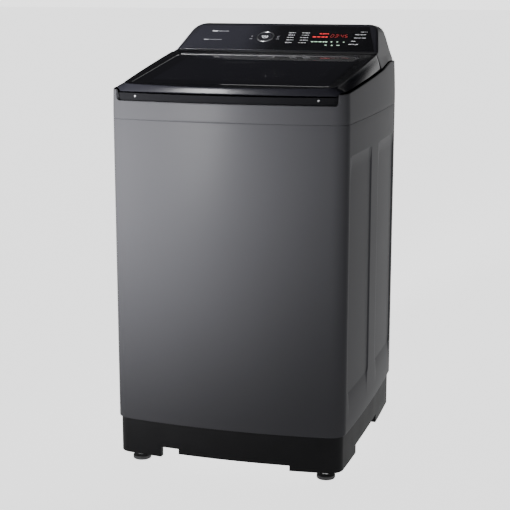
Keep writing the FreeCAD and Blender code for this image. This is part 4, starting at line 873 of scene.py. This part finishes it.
def console_hood():
    """Console cover: sloping front, rounded ridge, cheeks that lean inwards, opening under the panel."""
    front_y = LID_REAR + 2.5 * MM
    front_top = lid_top(front_y)
    front = [(SEAM + 90 * MM, front_y), (front_top - 2.5 * MM, front_y),
             (front_top - 0.8 * MM, front_y + 0.8 * MM), (front_top, front_y + 2.6 * MM),
             (PANEL_Z - 1.2 * MM, PANEL_Y - 6 * MM), (PANEL_Z, PANEL_Y + 1.2 * MM),
             (PANEL_Z + 56 * MM, PANEL_Y + 56 * 96 / 58 * MM + 0.9 * MM),
             (PANEL_Z + 58.4 * MM, PANEL_Y + 99 * MM), (RIDGE - 0.7 * MM, PANEL_Y + 105 * MM),
             (RIDGE, HALF_D - 58 * MM)]
    back = [(90, 1), (112, 1.2), (158, 6), (170, 11), (178, 18), (184.5, 28), (188.4, 40)]
    back = [(SEAM + up * MM, HALF_D - inset * MM) for up, inset in back] + [(RIDGE, HALF_D - 52 * MM)]
    width = [(80, 4), (172, 36.5), (178, 39.5), (183, 44), (187, 51), (189.2, 58)]
    width = [(SEAM + up * MM, HALF_W - inset * MM) for up, inset in width] + [(RIDGE, HALF_W - 64 * MM)]
    foot_low, foot_high = SEAM + 92.5 * MM, SEAM + 105.5 * MM
    valve_far, valve_near = 125 * MM, 55 * MM
    levels = [SEAM + v * MM for v in (118, 122, 125.3, 126.2, 127, 128, 129.2)]
    levels += [PANEL_Z + v * MM for v in range(0, 57, 2)]
    levels += [PANEL_Z + v * MM for v in (57, 57.8, 58.4, 58.9, 59.3, 59.6, 59.85, 60)]
    flat_x = [-1, -0.94, -0.88, -0.8, -0.715, -0.665, -0.6, -0.5, -0.4, -0.3, -0.2, -0.1]
    flat_x = flat_x + [0] + [-x for x in reversed(flat_x)]

    def ring(level, lower):
        """One level of the hood; lower rings follow the foot's sloping line."""
        def height(y):
            if lower is None:
                return level
            foot = foot_low + (foot_high - foot_low) * min(1, max(0, (y - front_y) / (100 * MM)))
            return foot + (levels[0] - foot) * lower

        y0, y1 = along(front, height(front_y)), along(back, height(HALF_D))
        half, half_back = along(width, height(front_y)), along(width, height(HALF_D))
        rf = min(7 * MM, (y1 - y0) * 0.45)
        rb = min((24 - 12 * smooth(SEAM + 120 * MM, SEAM + 180 * MM, level)) * MM, (y1 - y0) * 0.45)

        def rounded(x, y, radius, start):
            angles = [start + math.pi / 2 * i / 8 for i in range(1, 8)]
            return [(x + radius * math.cos(a), y + radius * math.sin(a)) for a in angles]

        cheek = [(half + (half_back - half) * (i / 12), y0 + rf + (y1 - rb - y0 - rf) * (i / 12))
                 for i in range(13)]
        inner = half_back - rb
        rear_x = [min(x, inner) for x in (inner, 200 * MM, 160 * MM, valve_far, 90 * MM, valve_near,
                                          20 * MM, 0)]
        spots = [(f * (half - rf), y0) for f in flat_x]
        spots += rounded(half - rf, y0 + rf, rf, -math.pi / 2) + cheek + rounded(inner, y1 - rb, rb, 0)
        spots += [(x, y1) for x in rear_x] + [(-x, y1) for x in reversed(rear_x[:-1])]
        spots += rounded(-half_back + rb, y1 - rb, rb, math.pi / 2) + [(-x, y) for x, y in reversed(cheek)]
        spots += rounded(-half + rf, y0 + rf, rf, math.pi)
        return [Vector((x, y, height(y))) for x, y in spots + [spots[0]]]

    rows = [ring(levels[0], t) for t in (0, 0.06, 0.25, 0.5, 0.87)] + [ring(level, None) for level in levels]
    bm = grid_piece(rows)
    bmesh.ops.remove_doubles(bm, verts=bm.verts, dist=WELD)
    top = [edge for edge in bm.edges if edge.is_boundary and edge.verts[0].co.z > RIDGE - 1 * MM]
    bmesh.ops.holes_fill(bm, edges=top)

    def under_panel(spot):
        up = (spot.z - PANEL_Z) / math.sin(PANEL_TILT)
        plane_y = PANEL_Y + (spot.z - PANEL_Z) * PANEL_RUN / PANEL_RISE
        half = HALF_W - 40 * MM - up * 0.29
        return 9 * MM < up < 102 * MM and abs(spot.y - plane_y) < 3 * MM and abs(spot.x) < half

    def valve_window(spot):
        level = SEAM + 106 * MM < spot.z < SEAM + 146 * MM
        return level and spot.y > HALF_D - 8 * MM and -valve_far < spot.x < -valve_near

    def bolt_window(spot):
        level = SEAM + 95 * MM < spot.z < SEAM + 104 * MM
        return level and spot.y < front_y + 3 * MM and 167 * MM < spot.x < 181 * MM

    windows = (under_panel, valve_window, bolt_window)
    gone = [face for face in bm.faces if any(window(face.calc_center_median()) for window in windows)]
    bmesh.ops.delete(bm, geom=gone, context="FACES")
    bmesh.ops.recalc_face_normals(bm, faces=bm.faces)
    bmesh.ops.solidify(bm, geom=bm.faces[:], thickness=2.2 * MM)
    finish_piece("console_hood", bm, CONSOLE_BLACK, stands_for=("console_housing",),
                 sharp=38)


def plate(bm, corners, low, high, place):
    """A flat bar between two heights over a surface, given its corners on that surface."""
    bottom = [bm.verts.new(place(x, up, low)) for x, up in corners]
    face = bm.faces.new(bottom)
    raised = bmesh.ops.extrude_face_region(bm, geom=[face])["geom"]
    lift = place(0, 0, high) - place(0, 0, low)
    bmesh.ops.translate(bm, verts=[item for item in raised if isinstance(item, bmesh.types.BMVert)], vec=lift)


def bar(bm, x, up, width, height, low=0.0, high=0.12 * MM, lean=0.0, cut=0.25):
    """A mark with clipped corners, centred on a place of the panel."""
    w, h = width / 2, height / 2
    c = min(w, h) * cut * 2
    corners = [(-w + c, -h), (w - c, -h), (w, -h + c), (w, h - c), (w - c, h), (-w + c, h), (-w, h - c),
               (-w, -h + c)]
    plate(bm, [(x + a + b * lean, up + b) for a, b in corners], low, high, panel_point)


def digit(bm, x, up, lit):
    """One seven-segment figure: a to g, from the top clockwise, then the middle."""
    width, height, stroke, lean = 6.2 * MM, 12 * MM, 1.5 * MM, 0.12
    w, h = width / 2, height / 2
    segments = [(0, h, False), (w, h / 2, True), (w, -h / 2, True), (0, -h, False),
                (-w, -h / 2, True), (-w, h / 2, True), (0, 0, False)]
    for name, (dx, dy, upright) in zip("abcdefg", segments):
        if name in lit:
            size = (stroke, h - stroke * 0.7) if upright else (width - stroke * 0.9, stroke)
            bar(bm, x + dx + dy * lean, up + dy, *size, lean=lean, cut=0.5)


def panel_marks():
    """Generic printed bars with a painted glow, lit figures and small lamps on the control panel, placed in
    millimetres.
    """
    white, grey, red, dim, green = (bmesh.new() for _ in range(5))

    def mark(bm, x, up, width, height, cut=0.25):
        bar(bm, x * MM, up * MM, width * MM, height * MM, cut=cut)

    def words(bm, x, up, widths, height, gap):
        for width in widths:
            mark(bm, x + width / 2, up, width, height)
            x += width + gap

    for row, up in enumerate((78, 68, 58, 47, 36)):
        for start, widths in ((17, (8, 5, 3)), (50, (6, 9, 4))):
            widths = [width * (1 - 0.12 * ((row + k) % 3)) for k, width in enumerate(widths)]
            words(white, start + (row % 2) * 1.2, up, widths, 1.9, 1.2)
    for x, up, widths in ((193, 84.6, (8, 7)), (181, 73, (11, 6, 6)), (181, 59, (9, 8, 9)), (177, 45, (10,)),
                          (173, 32, (8, 6, 6))):
        words(white, x, up, widths, 1.9, 1.4)
    for x, width in ((80, 6), (88, 8), (98, 8), (109, 4), (115, 5)):
        mark(green, x + width / 2, 41, width, 2.4)
    for x in (130, 144.5, 160):
        mark(green, x, 41, 4.2, 3.2, 0.5)
    for x, width in ((119, 4), (134, 4), (149, 7)):
        mark(green, x, 27, width, 2.0)
    for up, bars in ((75, ((94, 6), (102, 10), (113, 4))), (61.5, ((80, 8), (90, 9), (101, 8), (111, 6)))):
        for x, width in bars:
            mark(red, x + width / 2, up, width, 3.6)
    for x, lit in ((127, "abcdef"), (137, "abgcd"), (151, "fgbc"), (161, "afgcd")):
        digit(dim, x * MM, 66 * MM, lit)
    for up in (69, 63):
        mark(dim, 144, up, 1.4, 1.4, 0.5)
    mark(white, -171, 82, 15, 3.0)
    mark(grey, -149, 82, 26, 2.2)
    mark(white, -184, 45, 12, 1.8)
    mark(grey, -160, 45, 32, 1.6)
    for x in (-71, -5):
        mark(grey, x, 50, 8, 1.4)
    for name, bm, material in (("panel_words", white, GLOWING_PRINT_WHITE), ("panel_bars", grey, GLOWING_PRINT_GREY),
                               ("panel_figures", dim, LAMP_DIM), ("panel_lit_bars", red, LAMP_RED),
                               ("panel_lamps", green, LAMP_GREEN)):
        finish_piece(name, bm, material, sharp=20, weld=FINE_WELD)


def turned(profile, place, steps):
    """A piece turned round an axis, from (radius, height) pairs; place puts (x, y, height) in space."""
    rows = []
    for radius, height in profile:
        angles = [math.tau * i / steps for i in range(steps)]
        ring = [place(radius * math.cos(a), radius * math.sin(a), height) for a in angles]
        rows.append(ring + [ring[0]])
    bm = grid_piece(rows)
    bmesh.ops.remove_doubles(bm, verts=bm.verts, dist=WELD)
    return bm


def turned_mm(profile, place, steps):
    """A turned piece from a profile in millimetres."""
    return turned([(radius * MM, height * MM) for radius, height in profile], place, steps)


def standing_on_panel(x, up):
    """A placer for pieces whose axis stands on the panel."""
    return lambda a, b, off: panel_point(x + a, up + b, off)


def start_controls():
    """Bright ring, dished start button with a generic mark, and two small keys."""
    cx, cu = -38 * MM, 60 * MM
    on_ring = standing_on_panel(cx, cu)
    ring = [(18.55, -3), (21.6, -3), (21.6, 0.1), (21.45, 0.55), (21.0, 0.9), (20.1, 1.0), (19.2, 0.9),
            (18.7, 0.55), (18.55, 0.1), (18.55, -3)]
    finish_piece("start_bezel", turned_mm(ring, on_ring, 96), RING_CHROME,
                 stands_for=("start_ring",), sharp=50)
    cap = [(0, -5), (18.2, -5), (18.2, -0.1), (18.0, 0.35), (17.5, 0.6), (16.3, 0.55), (13, 0.2), (9, 0.02),
           (5, -0.06), (0, -0.08)]
    finish_piece("start_cap", turned_mm(cap, on_ring, 96), KEY_BLACK, "start_button",
                 ("start_button",), sharp=50)
    bm = bmesh.new()
    upper, lower = ((-6.6, 4.6), (-0.8, 5.4), (5.6, 4.8)), ((-4.0, 5.6), (3.6, 6.4))
    for x, width in upper:
        bar(bm, cx + x * MM, cu + 1.9 * MM, width * MM, 3.4 * MM, 0.0, 0.22 * MM)
    for x, width in lower:
        bar(bm, cx + x * MM, cu - 3.6 * MM, width * MM, 1.6 * MM, 0.0, 0.22 * MM)
    finish_piece("start_mark", bm, GLOWING_PRINT_WHITE, "start_button", sharp=20, weld=FINE_WELD)
    key = [(0, -5), (5, -5), (5, 0.1), (4.85, 0.45), (4.4, 0.6), (3.4, 0.5), (1.7, 0.4), (0, 0.37)]
    mark = [(1.6, 0.3), (2.4, 0.3), (2.4, 0.56), (1.6, 0.56), (1.6, 0.3)]
    for name, x in (("power_key", -71 * MM), ("hold_key", -5 * MM)):
        on_key = standing_on_panel(x, cu)
        finish_piece(name + "_cap", turned_mm(key, on_key, 48), KEY_BLACK, name, (name,),
                     sharp=50)
        finish_piece(name + "_mark", turned_mm(mark, on_key, 32), GLOWING_PRINT_GREY, name, sharp=20)


def cover_caps():
    """Two small domed caps in the band under the lid."""
    low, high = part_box("front_caps")
    dome = [(0, 0.4), (2.8, 0.4), (2.8, 1.7), (2.5, 2.1), (1.8, 2.4), (0.9, 2.5), (0, 2.5)]
    bm = bmesh.new()
    for x in (low.x + 4 * MM, high.x - 4 * MM):
        def on_band(a, b, off, x=x):
            return Vector((x + a, high.y - off, (low.z + high.z) / 2 + b))
        part = turned_mm(dome, on_band, 32)
        mesh = bpy.data.meshes.new("cap_shape")
        part.to_mesh(mesh)
        part.free()
        bm.from_mesh(mesh)
        bpy.data.meshes.remove(mesh)
    finish_piece("cover_caps", bm, CAP_GREY, stands_for=("front_caps",), sharp=50)


# ---------------------------------------------------------------- wash group and feet

def round_part(name):
    """Middle in plan, radius, bottom and top of a round exact part."""
    low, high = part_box(name)
    centre = Vector(((low.x + high.x) / 2, (low.y + high.y) / 2))
    return centre, (high.x - low.x) / 2, low.z, high.z


def basket_wall():
    """Spin basket: one layer of steel with pressed columns of bumps, a rounded foot and a rolled rim."""
    centre, radius, bottom, top = round_part("wash_basket")
    steps, columns, pitch, bump_depth, plain = 288, 18, 26 * MM, 2.2 * MM, 60 * MM
    foot = [(0.02 + radius * 0.1, bottom + 0.3 * MM), (radius * 0.5, bottom + 0.3 * MM)]
    foot += [(radius - inset * MM, bottom + up * MM) for inset, up in ((16, 0.3), (8, 2), (3, 7), (1, 14))]
    wall = [(radius - 0.8 * MM, z) for z in spread(bottom + 22 * MM, top - 6 * MM, 110)]
    rim = [(radius - 0.6 * MM, top - 2 * MM), (radius - 0.9 * MM, top - 0.4 * MM), (radius - 1.5 * MM, top),
           (radius - 2.1 * MM, top - 0.5 * MM)]
    rows = []
    for index, (r, z) in enumerate(foot + wall + rim):
        on_wall = len(foot) <= index < len(foot) + len(wall) and bottom + plain < z < top - plain
        row = []
        for i in range(steps):
            a = math.tau * i / steps
            bump = 0
            if on_wall:
                column = max(0, math.cos(a * columns)) ** 2
                offset = math.pi if int((a / math.tau) * columns + 0.5) % 2 else 0
                bump = column * max(0, math.cos((z - bottom) * math.tau / pitch + offset)) ** 2
            reach = r - bump * bump_depth
            row.append(Vector((centre.x + reach * math.cos(a), centre.y + reach * math.sin(a), z)))
        rows.append(row + [row[0]])
    finish_piece("basket_wall", grid_piece(rows), DRUM_HOLES, "basket", ("wash_basket",),
                 sharp=50)


def pulsator_plate():
    """Shallow dish with six swept fins, low ribs between them and a rounded rim."""
    centre, radius, bottom, top = round_part("pulsator")
    steps, bore, fins, sweep = 216, 18 * MM, 6, 2.4
    rows = []

    def add_row(r, height):
        row = []
        for i in range(steps):
            a = math.tau * i / steps
            row.append(Vector((centre.x + r * math.cos(a), centre.y + r * math.sin(a), height(a))))
        rows.append(row + [row[0]])

    for r in spread(bore, radius - 4 * MM, 60):
        t = r / radius

        def face(a, t=t):
            swept = a * fins - t * sweep
            fin = max(0, math.cos(swept)) ** 10 * smooth(0.12, 0.3, t) * (1 - smooth(0.82, 0.96, t))
            rib = max(0, math.cos(swept + math.pi)) ** 24 * smooth(0.45, 0.6, t) * (1 - smooth(0.8, 0.92, t))
            dish = 6 * MM + 5 * MM * (t ** 3) + 4 * MM * (1 - smooth(0.1, 0.4, t))
            return min(bottom + dish + fin * 20 * MM + rib * 5 * MM, top)
        add_row(r, face)
    edge = [(radius - 2 * MM, 10.5), (radius - 0.6 * MM, 8), (radius, 5), (radius - 0.6 * MM, 1.5),
            (radius - 3 * MM, 0), (radius * 0.6, 0.2), (bore, 0.2)]
    for r, up in edge:
        add_row(r, lambda a, up=up: bottom + up * MM)
    rows.append(rows[0])
    finish_piece("pulsator_plate", grid_piece(rows), PULSATOR_GREY, "pulsator",
                 ("pulsator",),
                 sharp=55)


def levelling_feet():
    """Ribbed rubber pad, hexagon nut and threaded stem for each foot."""
    nut = [(0, 10.9), (9.2, 10.9), (10.9, 11.6), (10.9, 18.3), (9.2, 19), (0, 19)]
    for name in ("foot_front_left", "foot_front_right", "foot_rear_left", "foot_rear_right"):
        centre, radius, _, top = round_part(name)
        tip = top / MM

        def upright(a, b, z, centre=centre):
            return Vector((centre.x + a, centre.y + b, z))
        pad = [(3, 0), (1, 0.8), (0, 3), (0.7, 4.5), (0, 6), (0.4, 8.4), (2.5, 9.2), (6, 10.8)]
        pad = [(radius - inset * MM, up * MM) for inset, up in pad]
        pad = [(0, 0)] + pad + [(11 * MM, 11 * MM), (0, 11 * MM)]
        finish_piece(name + "_pad", turned(pad, upright, 56), RUBBER, name, (name,), sharp=50)
        finish_piece(name + "_nut", turned_mm(nut, upright, 6), SCREW_STEEL, name, sharp=25)
        thread = [(0, 18.9), (5.2, 18.9)]
        z = 19.5
        while z < tip - 1.5:
            thread += [(5.0, z), (5.9, z + 0.6), (5.0, z + 1.2)]
            z += 1.3
        thread += [(5.0, tip - 0.8), (4.2, tip), (0, tip)]
        finish_piece(name + "_stem", turned_mm(thread, upright, 40), SCREW_STEEL, name,
                     sharp=40)


# ---------------------------------------------------------------- floor, lights and camera

def studio_floor():
    """A plain pale floor, wide enough to leave the view."""
    bm = bmesh.new()
    bmesh.ops.create_grid(bm, x_segments=8, y_segments=8, size=45)
    mesh = bpy.data.meshes.new("studio_floor")
    bm.to_mesh(mesh)
    bm.free()
    finish = Finish("floor_white", roughness=0.55, specular_ior_level=0.2)
    cloud = finish.noise(1.2, 3.0)
    finish.color(cloud, (0.86, 0.86, 0.86), (0.9, 0.9, 0.9))
    finish.set("Roughness", cloud * 0.1 + 0.5)
    finish.shader.inputs["Emission Color"].default_value = (1, 1, 1, 1)
    finish.shader.inputs["Emission Strength"].default_value = 2.0
    mesh.materials.append(finish.material)
    floor = bpy.data.objects.new("studio_floor", mesh)
    bpy.context.scene.collection.objects.link(floor)
    floor.location.z = -0.0005


def lamp(name, kind, place, target, power):
    """A light at one place that points at another."""
    data = bpy.data.lights.new(name, kind)
    data.energy = power
    light = bpy.data.objects.new(name, data)
    light.location = place
    light.rotation_euler = (Vector(target) - Vector(place)).to_track_quat("-Z", "Y").to_euler()
    bpy.context.scene.collection.objects.link(light)
    return data


def softbox(name, place, target, width, height, power):
    """A flat rectangular light."""
    data = lamp(name, "AREA", place, target, power)
    data.shape, data.size, data.size_y = "RECTANGLE", width, height


def beam(name, place, target, angle, power):
    """A soft-edged round beam."""
    data = lamp(name, "SPOT", place, target, power)
    data.spot_size, data.spot_blend, data.shadow_soft_size = math.radians(angle), 1.0, 0.35


def studio():
    """Pale floor, a bright horizon that darkens overhead, one beam and two faint boxes."""
    studio_floor()
    world = bpy.data.worlds.new("studio")
    world.use_nodes = True
    tree = world.node_tree
    back = tree.nodes["Background"]
    direction = tree.nodes.new("ShaderNodeTexCoord")
    split = tree.nodes.new("ShaderNodeSeparateXYZ")
    ramp = tree.nodes.new("ShaderNodeValToRGB")
    tree.links.new(direction.outputs["Generated"], split.inputs[0])
    tree.links.new(split.outputs["Z"], ramp.inputs[0])
    tree.links.new(ramp.outputs[0], back.inputs["Color"])
    ramp.color_ramp.interpolation = "EASE"
    horizon, overhead = ramp.color_ramp.elements
    horizon.position, horizon.color = 0.06, (1, 1, 1, 1)
    overhead.position, overhead.color = 0.24, (0.012, 0.012, 0.014, 1)
    back.inputs["Strength"].default_value = 2.4
    bpy.context.scene.world = world
    beam("key_left", (-1.05, -2.5, 0.62), (-0.40, -0.28, 0.72), 28, 3800)
    softbox("edge_right", (1.9, -1.9, 0.9), (0.26, -0.26, 0.5), 0.2, 1.6, 3)
    softbox("top_back", (0.0, 1.5, 2.0), (0, 0.1, 0.95), 1.4, 0.12, 2)


def camera():
    """The front view, from a little above and to the right."""
    tilt_down, turn_left = 0.2081, 0.2932
    data = bpy.data.cameras.new("front_camera")
    data.sensor_width, data.lens = 36, 92.28
    data.clip_start, data.clip_end = 0.05, 60
    eye = bpy.data.objects.new("front_camera", data)
    eye.location = (0.8622, -2.8997, 1.0871)
    eye.rotation_euler = (math.pi / 2 - tilt_down, 0, turn_left)
    bpy.context.scene.collection.objects.link(eye)
    bpy.context.scene.camera = eye


cabinet_skin()
cover_skin()
cover_caps()
lid_shell()
lid_pane()
lid_trim()
console_hood()
panel_marks()
start_controls()
basket_wall()
pulsator_plate()
levelling_feet()
studio()
camera()
